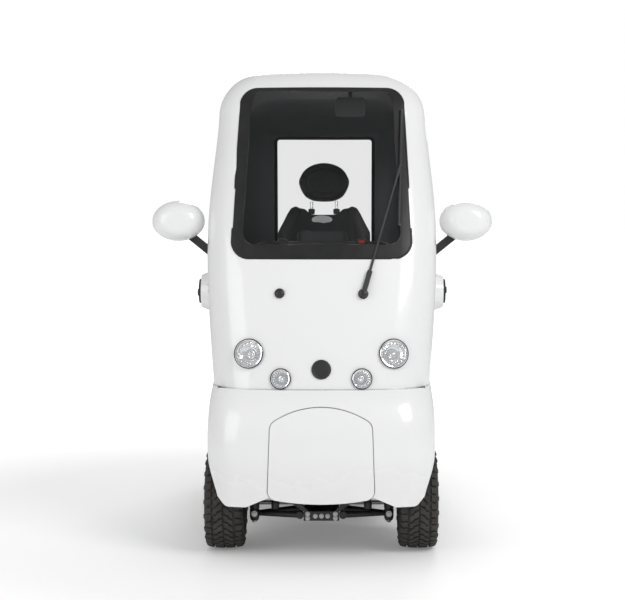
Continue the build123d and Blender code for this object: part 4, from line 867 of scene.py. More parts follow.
def tread_block(stations):
    """A block with chamfered edges that follows the tread's curve."""
    pitch = math.tau / PITCHES
    edge = LUG_EDGE / (pitch * TYRE_RADIUS)
    first, last = stations[0], stations[-1]
    ends = [(a[0] + (b[0] - a[0]) * 0.08, *a[1:]) for a, b in ((first, stations[1]), (last, stations[-2]))]
    rows = [(first, 1), (ends[0], 0), *[(row, 0) for row in stations[1:-1]], (ends[1], 0), (last, 1)]
    shape = bmesh.new()
    rings = []
    for (across, start, stop), sunk in rows:
        ring = []
        for turn, depth in ((start, 1.3 * GROOVE), (start, LUG_EDGE), (start + edge, sunk * LUG_EDGE),
                            (stop - edge, sunk * LUG_EDGE), (stop, LUG_EDGE), (stop, 1.3 * GROOVE)):
            x, radius = tread_point(across, depth)
            angle = turn * pitch
            ring.append(shape.verts.new((x, radius * math.sin(angle), radius * math.cos(angle))))
        rings.append(ring)
    for ring, after in zip(rings, rings[1:]):
        for k in range(len(ring)):
            shape.faces.new((ring[k], ring[k - 1], after[k - 1], after[k]))
    shape.faces.new(rings[0])
    shape.faces.new(rings[-1][::-1])
    return to_mesh("tread_block", shape, smooth=False)


pitch_mesh = joined("tread_pitch", *[tread_block(stations) for stations in TREAD_PITCH])
tread = ring_of.make("tread", pitch_mesh, "tyre_rubber", count=PITCHES, centre=(0, 0, 0), axis=(1, 0, 0))
SIDE_RIBS = 72
rib_place = frame_at((0.0592, 0, 0.109), (0.94, 0, 0.34), (0, 1, 0))
rib = plate("side_rib", rectangle(0.0009, 0.005, 0.0004), 0.0007, rib_place)
ribs = [ring_of.make("side_ribs", rib, "tyre_rubber", count=SIDE_RIBS, centre=(0, 0, 0), axis=(1, 0, 0))]
ribs.append(ribs[0].copy())
ribs[1].transform(Matrix.Rotation(math.pi, 4, "Z"))
tyre_mesh = joined("tyre", carcass(), tread, *ribs)
print("tyre faces:", len(tyre_mesh.polygons))

# %% [markdown]
# Each wheel gets its dressed tyre, five wheel nuts, a pressed centre cap over the axle nut and a valve
# stem. The rims themselves are good as CAD made them.

# %% Wheels
NUTS = 5
NUT_CIRCLE = 0.036
NUT_PROFILE = [(0, 0), (0, 0.0085), (0.006, 0.0085), (0.008, 0.0070), (0.0085, 0)]
WASHER_PROFILE = [(-0.0005, 0), (-0.0005, 0.0105), (0.0012, 0.0105), (0.0012, 0)]
CAP_PROFILE = [
    (0, 0), (0, 0.0235), (0.003, 0.0250), (0.006, 0.0240), (0.013, 0.0205), (0.0155, 0.0180),
    (0.0165, 0.0130), (0.0160, 0.0105), (0.0164, 0.0060), (0.0164, 0),
]
VALVE_PROFILE = [(0, 0), (0, 0.0055), (0.004, 0.0055), (0.007, 0.0035), (0.019, 0.0035), (0.0195, 0.0045),
                 (0.029, 0.0045), (0.031, 0.0035), (0.031, 0)]
DISC_FACE = 0.0232
HUB_FACE = 0.0302


def dress_wheel(name, side):
    centre = (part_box("tyre_" + name)[0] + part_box("tyre_" + name)[1]) / 2
    body = "wheel_" + name
    mesh = tyre_mesh.copy()
    mesh.transform(Matrix.Translation(centre))
    piece(f"tyre_treaded_{name}", mesh, body, "tyre_rubber", replaces=[f"tyre_{name}"])
    out = (side, 0, 0)
    nut_place = centre + Vector((side * DISC_FACE, 0, NUT_CIRCLE))
    nut = joined("nut", turned("nut", NUT_PROFILE, frame_at(nut_place, out), 6, False),
                 turned("washer", WASHER_PROFILE, frame_at(nut_place, out), 20))
    nuts = ring_of.make("nuts", nut, "bright_steel", count=NUTS, centre=tuple(centre), axis=(1, 0, 0))
    piece(f"wheel_nuts_{name}", nuts, body, "bright_steel")
    cap = turned("cap", CAP_PROFILE, frame_at(centre + Vector((side * HUB_FACE, 0, 0)), out))
    piece(f"hub_cap_{name}", cap, body, "black_trim")
    stem_place = centre + Vector((side * (DISC_FACE - 0.004), 0, -0.062))
    stem = turned("stem", VALVE_PROFILE, frame_at(stem_place, (side, 0, 0.35)), 16)
    piece(f"valve_{name}", stem, body, "seal_rubber")


for name in ("front_left", "front_right", "rear_left", "rear_right"):
    dress_wheel(name, 1 if name.endswith("left") else -1)
print("tread blocks on a tyre:", PITCHES * len(TREAD_PITCH))

# %% [markdown]
# The spring units are coils over damper tubes. A coil is a helix given thickness, and the flat seats
# above and below it hold its ends. The CAD cylinders say where each unit stands and how long it is.

# %% Springs and dampers
COIL_WIRE = 0.0042
COIL_TURNS = 6.5
SEAT_THICKNESS = 0.005
COIL_STEPS = 22
EASE = 0.35
FOOT_SHARE, TUBE_SHARE, TOP_SHARE = 0.24, 0.56, 0.84


def coil(foot, top, radius):
    """A helix between two heights with closed end turns."""
    count = int(COIL_TURNS * COIL_STEPS)
    points = []
    for k in range(count + 1):
        share = k / count
        rise = share - EASE * math.sin(math.tau * share) / math.tau
        angle = math.tau * COIL_TURNS * share
        height = foot.z + COIL_WIRE + rise * (top.z - foot.z - 2 * COIL_WIRE)
        points.append((foot.x + radius * math.cos(angle), foot.y + radius * math.sin(angle), height))
    return tube("coil", points, COIL_WIRE, "bright_steel", sides=10)


def spring_unit(low, high):
    """Damper tube, chromed rod, spring seats and end bushes of one unit, and its coil."""
    middle = (low + high) / 2
    length = high.z - low.z
    radius = (high.x - low.x) / 2 - COIL_WIRE
    foot, top = (Vector((middle.x, middle.y, low.z + length * share)) for share in (FOOT_SHARE, TOP_SHARE))
    up = frame_at((middle.x, middle.y, low.z), (0, 0, 1))
    seat = radius + COIL_WIRE
    lower, tube_end, upper = (share * length for share in (FOOT_SHARE, TUBE_SHARE, TOP_SHARE))
    tube_profile = [
        (0, 0), (0, 0.013), (0.020, 0.013), (0.024, 0.010), (0.2 * length, 0.0125),
        (lower - SEAT_THICKNESS, 0.013), (lower - SEAT_THICKNESS, seat), (lower, seat),
        (lower, 0.014), (tube_end, 0.014), (0.57 * length, 0.012), (0.57 * length, 0),
    ]
    head_profile = [
        (upper, 0), (upper, seat), (upper + SEAT_THICKNESS, seat),
        (upper + 2 * SEAT_THICKNESS, 0.014), (0.9 * length, 0.010), (length - 0.022, 0.010),
        (length - 0.018, 0.013), (length, 0.013), (length, 0),
    ]
    rod_profile = [(tube_end, 0), (tube_end, 0.0055), (0.85 * length, 0.0055), (0.85 * length, 0)]
    black = [turned("damper", tube_profile, up), turned("head", head_profile, up)]
    bright = [coil(foot, top, radius), turned("rod", rod_profile, up, 20)]
    return black, bright


black_parts, bright_parts = [], []
for low, high in solids("shock_absorbers"):
    black, bright = spring_unit(low, high)
    black_parts += black
    bright_parts += bright
dampers = joined("dampers", *black_parts)
piece("damper_tubes", dampers, "chassis", "frame_black", replaces=["shock_absorbers"])
piece("coil_springs", joined("coils", *bright_parts), "chassis", "frame_black", finish="bright_steel")

# %% [markdown]
# The front suspension shows under the nose: bright bolts on the centre box, and round ball cups with a
# bolt at the arm ends. Bolts are one hexagon head copied onto marked places.

# %% Bolts and ball joints
HEX_PROFILE = [(0, 0), (0, 0.0062), (0.0042, 0.0062), (0.0052, 0.0052), (0.0052, 0)]
ROUND_WASHER = [(-0.0004, 0), (-0.0004, 0.0085), (0.0010, 0.0085), (0.0010, 0)]


def bolt_pattern(scale=1.0):
    up = frame_at((0, 0, 0), (0, 0, 1))
    mesh = joined("bolt", turned("hex", HEX_PROFILE, up, 6, False), turned("washer", ROUND_WASHER, up, 16))
    mesh.transform(Matrix.Scale(scale, 4))
    return mesh


KNOB_PROFILE = [(0, 0), (0, 0.0145), (0.004, 0.0150), (0.009, 0.0125), (0.011, 0.0085), (0.0115, 0)]
BOX_BOLT_SCALE = 0.9
JOINT_BOLT_SCALE = 1.15
BOX_FRONT = -1.2
arm_low, arm_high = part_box("front_arms")
kingpin_x = arm_high.x - 0.016
axle_y = (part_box("tyre_front_left")[0].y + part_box("tyre_front_left")[1].y) / 2
frame_skin = Surface("frame")
box_bolts = []
for x in (-0.045, 0.045):
    for z in (0.111, 0.125):
        box_bolts.append(frame_skin.meet((x, BOX_FRONT, z), (0, 1, 0)))
for x in (-0.02, 0.0, 0.02):
    box_bolts.append(frame_skin.meet((x, BOX_FRONT, 0.118), (0, 1, 0)))
bolts = copies("box_bolts", bolt_pattern(BOX_BOLT_SCALE), box_bolts, "bright_steel")
piece("box_bolts", bolts, "chassis", "bright_steel")
joint_parts, joint_bolts = [], []
for side in (-1, 1):
    foot = Vector((side * kingpin_x, axle_y, arm_low.z))
    joint_parts.append(turned("ball_cup", KNOB_PROFILE, frame_at(foot, (0, 0, -1))))
    joint_bolts.append(((side * kingpin_x, axle_y - 0.0158, 0.111), (0, -1, 0)))
    joint_bolts.append(((side * kingpin_x, axle_y, arm_low.z - 0.0112), (0, 0, -1)))
piece("ball_joints", joined("ball_joints", *joint_parts), "chassis", "frame_black")
bolts = copies("joint_bolts", bolt_pattern(JOINT_BOLT_SCALE), joint_bolts, "bright_steel")
piece("joint_bolts", bolts, "chassis", "bright_steel")
print(len(box_bolts) + len(joint_bolts), "bolts at the front suspension")

# %% [markdown]
# The seat is upholstered foam, so its pads are blown up rather than drawn: each starts as a slab a little
# smaller than its place, is remeshed into even cells, and swells under air pressure in a short cloth
# simulation. How far a point may move is capped. Seams and sewn channels are pressed in afterwards,
# because the remesh would lose them, and one subdivision smooths the result.

# %% Padding
VOXEL = 0.0065
AIR_PRESSURE = 4
AIR_FRAMES = 20


def plain_copy(carrier):
    """The mesh of an object with its modifiers applied."""
    graph = bpy.context.evaluated_depsgraph_get()
    return bpy.data.meshes.new_from_object(carrier.evaluated_get(graph), depsgraph=graph)


def changed(mesh, kind, **settings):
    """A mesh after one modifier."""
    carrier = bpy.data.objects.new("carrier", mesh)
    bpy.context.scene.collection.objects.link(carrier)
    modifier = carrier.modifiers.new("change", kind)
    for name, value in settings.items():
        setattr(modifier, name, value)
    result = plain_copy(carrier)
    bpy.data.objects.remove(carrier)
    return result


def blown(mesh, cap):
    """The mesh swollen by air, with no point moved further than the cap."""
    scene = bpy.context.scene
    carrier = bpy.data.objects.new("pad", mesh)
    scene.collection.objects.link(carrier)
    cloth = carrier.modifiers.new("air", "CLOTH")
    cloth.settings.use_pressure = True
    cloth.settings.uniform_pressure_force = AIR_PRESSURE
    cloth.settings.effector_weights.gravity = 0
    cloth.point_cache.frame_end = AIR_FRAMES
    for step in range(1, AIR_FRAMES + 1):
        scene.frame_set(step)
    result = plain_copy(carrier)
    scene.frame_set(1)
    for vert, start in zip(result.vertices, mesh.vertices):
        move = vert.co - start.co
        if move.length > cap:
            vert.co = start.co + move.normalized() * cap
    bpy.data.objects.remove(carrier)
    return result


def groove(distance, depth, width):
    """How deep a sewn line pulls the cover in at a distance from it."""
    return depth * math.exp(-((distance / width) ** 2))


def pad(mesh, cap, relief, voxel=VOXEL):
    """A padded form: remeshed, blown up, pressed in by relief(point, normal), and smoothed."""
    mesh = changed(mesh, "REMESH", mode="VOXEL", voxel_size=voxel)
    mesh = blown(mesh, cap)
    sunk = [vert.normal * relief(vert.co, vert.normal) for vert in mesh.vertices]
    for vert, move in zip(mesh.vertices, sunk):
        vert.co -= move
    mesh = changed(mesh, "SUBSURF", levels=1, render_levels=1)
    mesh.shade_smooth()
    return mesh


def cover_panel(mesh, sides, lift=0.0008, facing=0.35):
    """The part of a pad's front face between some lines, as a thin cover of its own."""
    shape = bmesh.new()
    shape.from_mesh(mesh)
    for point, away in sides:
        everything = [*shape.verts, *shape.edges, *shape.faces]
        bmesh.ops.bisect_plane(shape, geom=everything, plane_co=point, plane_no=away, clear_outer=True)
    back = [face for face in shape.faces if face.normal.z < facing]
    bmesh.ops.delete(shape, geom=back, context="FACES")
    shape.normal_update()
    for vert in shape.verts:
        vert.co += vert.normal * lift
    panel = bpy.data.meshes.new("panel")
    shape.to_mesh(panel)
    shape.free()
    panel = changed(panel, "SOLIDIFY", thickness=lift, offset=1)
    panel.shade_smooth()
    return panel


def laid_on(mesh, route, lift=0.0):
    """Points of a flat route dropped onto the front of a pad."""
    places = [vert.co.copy() for vert in mesh.vertices]
    tree = BVHTree.FromPolygons(places, [list(face.vertices) for face in mesh.polygons])
    points = []
    for x, y in route:
        point, normal, _, _ = tree.ray_cast(Vector((x, y, 1)), Vector((0, 0, -1)))
        if point:
            points.append(point + normal * lift)
    return points


def spread(route, step=0.008):
    """A flat route with even points."""
    points = []
    for start, end in zip(route, route[1:]):
        start, end = Vector(start), Vector(end)
        count = max(1, round((end - start).length / step))
        points += [start.lerp(end, k / count) for k in range(count)]
    return [tuple(point) for point in points + [Vector(route[-1])]]


# %% [markdown]
# The cushion and the back share one design: a knitted middle panel between two smooth side bolsters, with
# piping in the seam and a row of stitches beside it. Sewn channels cross the middle panel.

# %% Seat pads
PIPING = 0.0024
STITCH_GAP = 0.0065
STITCH = {"spacing": 0.0058, "length": 0.0042, "thread": 0.0011}
PANEL_HALF = 0.150
CHANNEL_STEP = 0.066
CUSHION_LOW, CUSHION_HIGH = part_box("seat_cushion")
CUSHION_TRIM = 0.006
BACK_TILT = math.radians(8)
BACK_FOOT = Vector((0, 0.402, 0.640))
BACK_OUTLINE = [
    (-0.184, 0.004), (0.184, 0.004), (0.200, 0.165), (0.194, 0.390), (0.138, 0.496), (0.082, 0.490),
    (0.050, 0.468), (-0.050, 0.468), (-0.082, 0.490), (-0.138, 0.496), (-0.194, 0.390), (-0.200, 0.165),
]
BACK_SEAM = [(0.126, 0.008), (0.140, 0.22), (0.122, 0.36), (0.092, 0.478)]
HEADREST_MIDDLE = 0.592
HEADREST_HALF = (0.100, 0.078)
back_place = Matrix.Translation(BACK_FOOT) @ Matrix((
    (1, 0, 0, 0),
    (0, math.sin(BACK_TILT), -math.cos(BACK_TILT), 0),
    (0, math.cos(BACK_TILT), math.sin(BACK_TILT), 0),
    (0, 0, 0, 1),
))
cushion_place = Matrix.Translation((0, (CUSHION_LOW.y + CUSHION_HIGH.y) / 2, CUSHION_LOW.z))
cushion_half_y = (CUSHION_HIGH.y - CUSHION_LOW.y) / 2
cushion_top = CUSHION_HIGH.z - CUSHION_LOW.z


def to_channel(value):
    """Distance to the nearest sewn channel."""
    return abs((value / CHANNEL_STEP + 0.5) % 1 - 0.5) * CHANNEL_STEP


def seam_half(height):
    """Half width of the back's middle panel at a height."""
    for (low_x, low), (high_x, high) in zip(BACK_SEAM, BACK_SEAM[1:]):
        if height <= high:
            return low_x + (high_x - low_x) * max(0, height - low) / (high - low)
    return BACK_SEAM[-1][0]


def cushion_relief(point, normal):
    side = groove(point.z - 0.066, 0.004, 0.004) if abs(normal.z) < 0.6 else 0
    if normal.z < 0.3:
        return side
    across = abs(point.x)
    inside = across < PANEL_HALF
    dip = 0.007 * max(0, 1 - (across / PANEL_HALF) ** 2)
    bolster = -0.005 * groove(across - 0.185, 1, 0.03)
    channel = groove(to_channel(point.y - 0.02), 0.0055, 0.006) if inside else 0
    return side + dip + bolster + channel + groove(across - PANEL_HALF, 0.009, 0.008)


def back_relief(point, normal):
    side = groove(point.z, 0.004, 0.004) if abs(normal.z) < 0.6 else 0
    across = abs(point.x)
    if normal.z < -0.3:
        return side + groove(across - 0.150, 0.004, 0.005)
    if normal.z < 0.3:
        return side
    seam = seam_half(point.y)
    inside = across < seam
    bolster = -0.007 * groove(across - seam - 0.028, 1, 0.024)
    channel = groove(to_channel(point.y - 0.012), 0.006, 0.006) if inside and point.y < 0.40 else 0
    dip = 0.006 * max(0, 1 - (across / seam) ** 2)
    return side + bolster + channel + dip + groove(across - seam, 0.010, 0.008)


def headrest_relief(point, normal):
    share = math.hypot(point.x / HEADREST_HALF[0], point.y / HEADREST_HALF[1])
    rim = groove(abs(point.z) - 0.021, 0.0025, 0.0035) if abs(normal.z) < 0.7 else 0
    return rim + (groove((share - 0.72) * 0.09, 0.005, 0.005) if normal.z > 0.3 else 0)


def ellipse(half_x, half_y, steps=64):
    turns = [math.tau * k / steps for k in range(steps)]
    return [(half_x * math.cos(turn), half_y * math.sin(turn)) for turn in turns]


def shield(half_x, half_y, steps=64):
    """A headrest's outline: round above, and flatter and narrower below."""
    points = []
    for x, y in ellipse(1, 1, steps):
        low = max(0, -y)
        points.append((half_x * x * (1 - 0.10 * low), half_y * (y if y > 0 else -low**0.75)))
    return points


def slab(outline, low, high, edge):
    """A slab between two heights with rounded edges, in the pad's own frame."""
    return plate("slab", outline, high - low, Matrix.Translation((0, 0, low)), bevel=edge)


cushion_outline = rectangle(0.217, cushion_half_y - 0.008, 0.045)
cushion = pad(slab(cushion_outline, 0.003, cushion_top - CUSHION_TRIM, 0.030), 0.010, cushion_relief)
backrest = pad(slab(rounded(BACK_OUTLINE, 0.022), -0.036, 0.034, 0.024), 0.010, back_relief)
headrest = pad(slab(shield(*HEADREST_HALF), -0.033, 0.033, 0.024), 0.008, headrest_relief, 0.005)

# %% Seat covers, piping and stitches
PANEL_END = 0.196
RING_SHARE = 0.72
BADGE_SPOT = (-0.008, 0.436)
BADGE_LIFT = 0.0022
cushion_seam = [(PANEL_HALF, -PANEL_END), (PANEL_HALF, PANEL_END)]
cushion_edges = [((side * PANEL_HALF, 0, 0), (side, 0, 0)) for side in (-1, 1)]
cushion_edges += [((0, side * PANEL_END, 0), (0, side, 0)) for side in (-1, 1)]


def back_panel(mesh):
    """The middle panel of the back, cut along a seam that bends at two heights."""
    bands = []
    for (low_x, low), (high_x, high) in zip(BACK_SEAM, BACK_SEAM[1:]):
        edges = [((0, max(low, 0.012), 0), (0, -1, 0)), ((0, min(high, 0.455), 0), (0, 1, 0))]
        for side in (-1, 1):
            edges.append(((side * low_x, low, 0), (side * (high - low), low_x - high_x, 0)))
        bands.append(cover_panel(mesh, edges))
    return joined("back_panel", *bands)


def seam_work(mesh, seam, place):
    """Piping in both mirrored seams of a pad, and stitches beside it."""
    cords, threads = [], []
    for side in (-1, 1):
        for shift, kind in ((0, "piping"), (STITCH_GAP, "stitch"), (-STITCH_GAP, "stitch")):
            route = spread([(side * (x + shift), y) for x, y in seam])
            points = laid_on(mesh, route, PIPING / 2 if kind == "piping" else 0.0004)
            points = [place @ point for point in points]
            if kind == "piping":
                cords.append(tube("piping", points, PIPING, "seat_cover"))
            else:
                threads.append(stitches_on.make("stitches", line_curve(points), "thread_grey", **STITCH))
    return cords, threads


piping, stitches = [], []
for mesh, seam, place in ((cushion, cushion_seam, cushion_place), (backrest, BACK_SEAM, back_place)):
    cords, threads = seam_work(mesh, seam, place)
    piping += cords
    stitches += threads
panels = [(cover_panel(cushion, cushion_edges), cushion_place), (back_panel(backrest), back_place)]
ring = laid_on(headrest, ellipse(*(RING_SHARE * half for half in HEADREST_HALF)), PIPING / 3)
headrest_place = back_place @ Matrix.Translation((0, HEADREST_MIDDLE, 0))
ring = [headrest_place @ point for point in ring]
piping.append(tube("piping", ring, PIPING * 0.8, "seat_cover", closed=True))
badge_point = laid_on(backrest, [BADGE_SPOT], BADGE_LIFT)[0]
badge = plate("badge", ellipse(0.041, 0.0165), 0.0016, back_place @ Matrix.Translation(badge_point), 0.0006)
for name, mesh, place, node, fill in (
    ("seat_cushion_pad", cushion, cushion_place, "seat_cushion", 0.7),
    ("seat_back_pad", backrest, back_place, "seat_back", 0.7),
    ("headrest_pad", headrest, headrest_place, "seat_headrest", 0.8),
):
    mesh.transform(place)
    piece(name, mesh, "chassis", "seat_cover", replaces=[node])
for (mesh, place), name in zip(panels, ("seat_cushion_panel", "seat_back_panel")):
    mesh.transform(place)
    piece(name, mesh, "chassis", "seat_cover", finish="seat_knit")
piece("seat_piping", joined("piping", *piping), "chassis", "seat_cover")
piece("seat_stitches", joined("stitches", *stitches), "chassis", "seat_cover", finish="thread_grey")
piece("seat_badge_blank", badge, "chassis", "seat_cover", finish="badge_grey")
print("seat pads:", [len(mesh.polygons) for mesh in (cushion, backrest, headrest)])

# %% [markdown]
# The armrests are small pads on steel brackets with a capped pivot. Plastic guides and chromed feet carry
# the two headrest posts.

# %% Armrests and headrest guides
ARM_X = 0.268
ARM_MIDDLE = (0.255, 0.830)
ARM_HALF = (0.0235, 0.1400, 0.0165)
ARM_PIVOT = (0.4666, 0.7117)
BRACKET_X = 0.2443
BRACKET_THICKNESS = 0.008
BRACKET = [(0.352, 0.822), (0.398, 0.828), (0.4870, 0.7150), (0.4666, 0.6915), (0.4440, 0.7050)]
PIVOT_CAP = [(0, 0), (0, 0.016), (0.003, 0.0165), (0.006, 0.013), (0.007, 0)]
GUIDE_PROFILE = [(-0.012, 0), (-0.012, 0.012), (0.004, 0.0135), (0.008, 0.0125), (0.010, 0.0065), (0.010, 0)]
POST_PROFILE = [(0, 0), (0, 0.006), (0.027, 0.006), (0.027, 0)]


def arm_relief(point, normal):
    return groove(point.z + 0.004, 0.0028, 0.003) if abs(normal.z) < 0.6 else 0


arm_slab = slab(rectangle(*ARM_HALF[:2], 0.018), -ARM_HALF[2], ARM_HALF[2], 0.012)
arm_pad = pad(arm_slab, 0.004, arm_relief, 0.0045)
brackets, pads = [], []
for side in (-1, 1):
    mesh = arm_pad.copy()
    mesh.transform(Matrix.Translation((side * ARM_X, *ARM_MIDDLE)))
    pads.append(mesh)
    inner = frame_at((side * BRACKET_X, 0, 0), (side, 0, 0), (0, 1, 0))
    outline = [(y, side * z) for y, z in BRACKET]
    brackets.append(plate("bracket", rounded(outline, 0.006), BRACKET_THICKNESS, inner, 0.0015))
    outer = side * (BRACKET_X + BRACKET_THICKNESS)
    brackets.append(turned("pivot", PIVOT_CAP, frame_at((outer, *ARM_PIVOT), (side, 0, 0)), 32))
for mesh, side in zip(pads, ("right", "left")):
    replaced = ["armrests"] if side == "right" else []
    piece(f"armrest_pad_{side}", mesh, "chassis", "seat_cover", replaces=replaced)
piece("armrest_brackets", joined("brackets", *brackets), "chassis", "frame_black")
guides, posts = [], []
for side in (-1, 1):
    spot = back_place @ Vector((side * 0.05, 0.476, 0))
    up = frame_at(spot, back_place.to_3x3() @ Vector((0, 1, 0)))
    guides.append(turned("guide", GUIDE_PROFILE, up, 24))
    posts.append(turned("post", POST_PROFILE, up, 20))
piece("headrest_post_feet", joined("posts", *posts), "chassis", "lamp_chrome")
piece("headrest_guides", joined("guides", *guides), "chassis", "black_trim")
print("armrest pad faces:", len(arm_pad.polygons))

# %% [markdown]
# Lips, seals and wiper parts are strips: one small section carried along a line that lies on the skin. A
# strip knows which way the skin faces at each point, so it never twists.

# %% Strips on the skin
def mirrored(half):
    """A section drawn on its left side only."""
    return half + [(-across, out) for across, out in half[::-1]]


def strip(name, line, section, closed=False):
    """A section of (across, out) points carried along (place, normal) pairs."""
    count = len(line)
    shape = bmesh.new()
    rings = []
    for k, (place, normal) in enumerate(line):
        before = line[k - 1][0] if k or closed else place
        after = line[(k + 1) % count][0] if k + 1 < count or closed else place
        along = (after - before).normalized()
        across = along.cross(normal).normalized()
        out = across.cross(along)
        rings.append([shape.verts.new(place + across * a + out * b) for a, b in section])
    pairs = list(zip(rings, rings[1:] + (rings[:1] if closed else [])))
    for ring, after in pairs if closed else pairs[: count - 1]:
        for k in range(len(section)):
            shape.faces.new((ring[k - 1], ring[k], after[k], after[k - 1]))
    if not closed:
        shape.faces.new(rings[0][::-1])
        shape.faces.new(rings[-1])
    return to_mesh(name, shape)


def lip_section(half, height):
    """A soft D-shaped section that stands on the skin."""
    arc = [(half * math.cos(turn), height * math.sin(turn)) for turn in (math.pi * k / 8 for k in range(9))]
    return arc + [(-half, -0.0012), (half, -0.0012)]


# %% [markdown]
# Each front lamp is a clear lens over a faceted reflector. A thin black gasket and a bright ring close
# the joint to the panel. All four share one profile that grows with the lamp, and each one faces the way
# the panel faces there. The reflector is left unsmoothed, because its flat facets make the sparkle.

# %% Front lamps
FACETS = 20
BOWL_DEPTH = 0.026
front_skin = Surface("front_shell", "lamp_lenses", "headlamps", "front_caps")


def across_hole(x, z, reach):
    """The middle of a hole in the front panel, from the skin above and below it."""
    above, below = (Surface("front_shell").front(x, z + shift) for shift in (reach, -reach))
    return (above[0] + below[0]) / 2, (above[1] + below[1]).normalized()


def gasket_profile(radius):
    return [(-0.006, radius - 0.001), (0.0012, radius + 0.0012), (0.0026, radius), (0.0022, radius - 0.0016),
            (-0.006, radius - 0.0022), (-0.006, radius - 0.001)]


def ring_profile(radius):
    return [(-0.005, radius - 0.002), (0.0030, radius - 0.0018), (0.0042, radius - 0.0034),
            (0.0036, radius - 0.0058), (-0.002, radius - 0.0070), (-0.005, radius - 0.0066),
            (-0.005, radius - 0.002)]


def bowl_profile(radius, depth):
    rim = radius - 0.0066
    return [(-0.004, rim), (-0.25 * depth, 0.93 * rim), (-0.5 * depth, 0.79 * rim),
            (-0.72 * depth, 0.60 * rim), (-0.9 * depth, 0.36 * rim), (-0.97 * depth, 0.0), (-depth, 0.0),
            (-depth, 0.55 * rim),
            (-0.6 * depth, 0.93 * rim), (-0.005, radius - 0.002), (-0.004, rim)]


def bulb_profile(radius):
    return [(-0.024, 0), (-0.024, 0.0045), (-0.016, 0.0050), (-0.012, 0.12 * radius + 0.002),
            (-0.008, 0.12 * radius), (-0.006, 0.07 * radius), (-0.0055, 0)]


def lens_profile(radius):
    rim = radius - 0.0058
    turns = [math.pi * k / 16 for k in range(9)]
    dome = [(0.0022 + 0.004 * math.cos(turn), rim * math.sin(turn)) for turn in turns]
    inner = [(along - 0.0015, edge) for along, edge in dome[::-1]]
    return dome + inner


gaskets, rings, bowls, lenses = [], [], [], []
for low, high in sorted(solids("headlamps"), key=lambda box: box[0].x):
    middle = (low + high) / 2
    radius = (high.x - low.x) / 2
    place, out = front_skin.front(middle.x, middle.z)
    where = frame_at(place, out)
    gaskets.append(turned("gasket", gasket_profile(radius), where))
    rings.append(turned("ring", ring_profile(radius), where))
    bowls.append(turned("bowl", bowl_profile(radius, BOWL_DEPTH), where, FACETS, False))
    bowls.append(turned("bulb", bulb_profile(radius), where, 20))
    lenses.append(turned("lens", lens_profile(radius), where))
piece("lamp_gaskets", joined("gaskets", *gaskets), "chassis", "black_trim", finish="seal_rubber")
reflectors = joined("reflectors", *rings, *bowls)
piece("lamp_reflectors", reflectors, "chassis", "lamp_chrome", replaces=["headlamps"])
piece("lamp_domes", joined("lenses", *lenses), "chassis", "lens_clear", replaces=["lamp_lenses"])
print(len(lenses), "front lamps")

# %% [markdown]
# Two caps close holes in the panel: the plain cap in the middle, and the washer nozzle that mirrors the
# wiper.

# %% Caps and washer nozzle
def cap_profile(radius, height):
    return [(-0.004, 0), (-0.004, radius - 0.002), (0.001, radius), (0.6 * height, radius - 0.0008),
            (height, radius - 0.0045), (0.86 * height, radius - 0.0075), (0.82 * height, 0.72 * radius),
            (0.92 * height, 0.70 * radius), (height, 0.62 * radius), (1.05 * height, 0)]


NOZZLE_PROFILE = [(-0.004, 0), (-0.004, 0.0150), (0.002, 0.0165), (0.006, 0.0158), (0.0095, 0.0120),
                  (0.0112, 0.0070), (0.0118, 0)]
JET_PROFILE = [(0, 0), (0, 0.0022), (0.0022, 0.0018), (0.0022, 0.0007), (0.0012, 0.0005), (0.0012, 0)]
cap_parts = []
for low, high in solids("front_caps"):
    middle = (low + high) / 2
    radius = (high.x - low.x) / 2
    place, out = across_hole(middle.x, middle.z, radius + 0.004)
    if radius > 0.02:
        cap_parts.append(turned("cap", cap_profile(radius, 0.007), frame_at(place, out), 64))
        continue
    cap_parts.append(turned("nozzle", NOZZLE_PROFILE, frame_at(place, out)))
    for shift in (-0.006, 0.006):
        jet = place + out * 0.0062 + Vector((shift, 0, 0.004))
        cap_parts.append(turned("jet", JET_PROFILE, frame_at(jet, out + Vector((shift * 40, 0, 0.5))), 12))
piece("panel_caps", joined("caps", *cap_parts), "chassis", "black_trim", replaces=["front_caps"])

# %% [markdown]
# The wiper is a capped spindle, a pressed arm with a folded spring joint, and a blade that follows the
# curve of the glass: a spine, two end caps, a clip and the rubber lip. The blade's line is read from the
# windscreen.

# %% Wiper
SPINDLE = (0.135, 0.841)
ARM_END = (0.262, 1.262)
BLADE_ENDS = ((0.254, 1.062), (0.270, 1.450))
BLADE_POINTS = 20
HINGE_SHARE = 0.2
ARM_STEPS = 12
ARM_LIFT = 0.016
CLIP_SINK = 0.004
SPINDLE_PROFILE = [(-0.004, 0), (-0.004, 0.0140), (0.003, 0.0165), (0.006, 0.0165), (0.0075, 0.0135),
                   (0.0150, 0.0120), (0.0185, 0.0100), (0.0205, 0.0055), (0.0208, 0)]
ARM_WIDE = mirrored([(-0.0085, 0), (-0.0085, 0.0035), (-0.0065, 0.0070)])
ARM_SLIM = mirrored([(-0.0040, 0), (-0.0040, 0.0022), (-0.0028, 0.0036)])
SPINE = mirrored([(-0.0045, 0.0060), (-0.0045, 0.0080), (-0.0020, 0.0105)])
RUBBER_LIP = mirrored([(-0.0007, 0.0006), (-0.0018, 0.0048), (-0.0030, 0.0052), (-0.0030, 0.0064)])
BLADE_CAP = [(0.004, 0), (0.004, 0.0062), (0.0115, 0.0055), (0.0125, 0)]
glass_skin = Surface("windscreen", "front_shell", "window_seals")


def skin_line(start, end, count, lift):
    """Points between two places seen from the front, lifted off the skin."""
    line = []
    for k in range(count + 1):
        x, z = (a + (b - a) * k / count for a, b in zip(start, end))
        place, normal = glass_skin.front(x, z)
        line.append((place + normal * lift, normal))
    return line


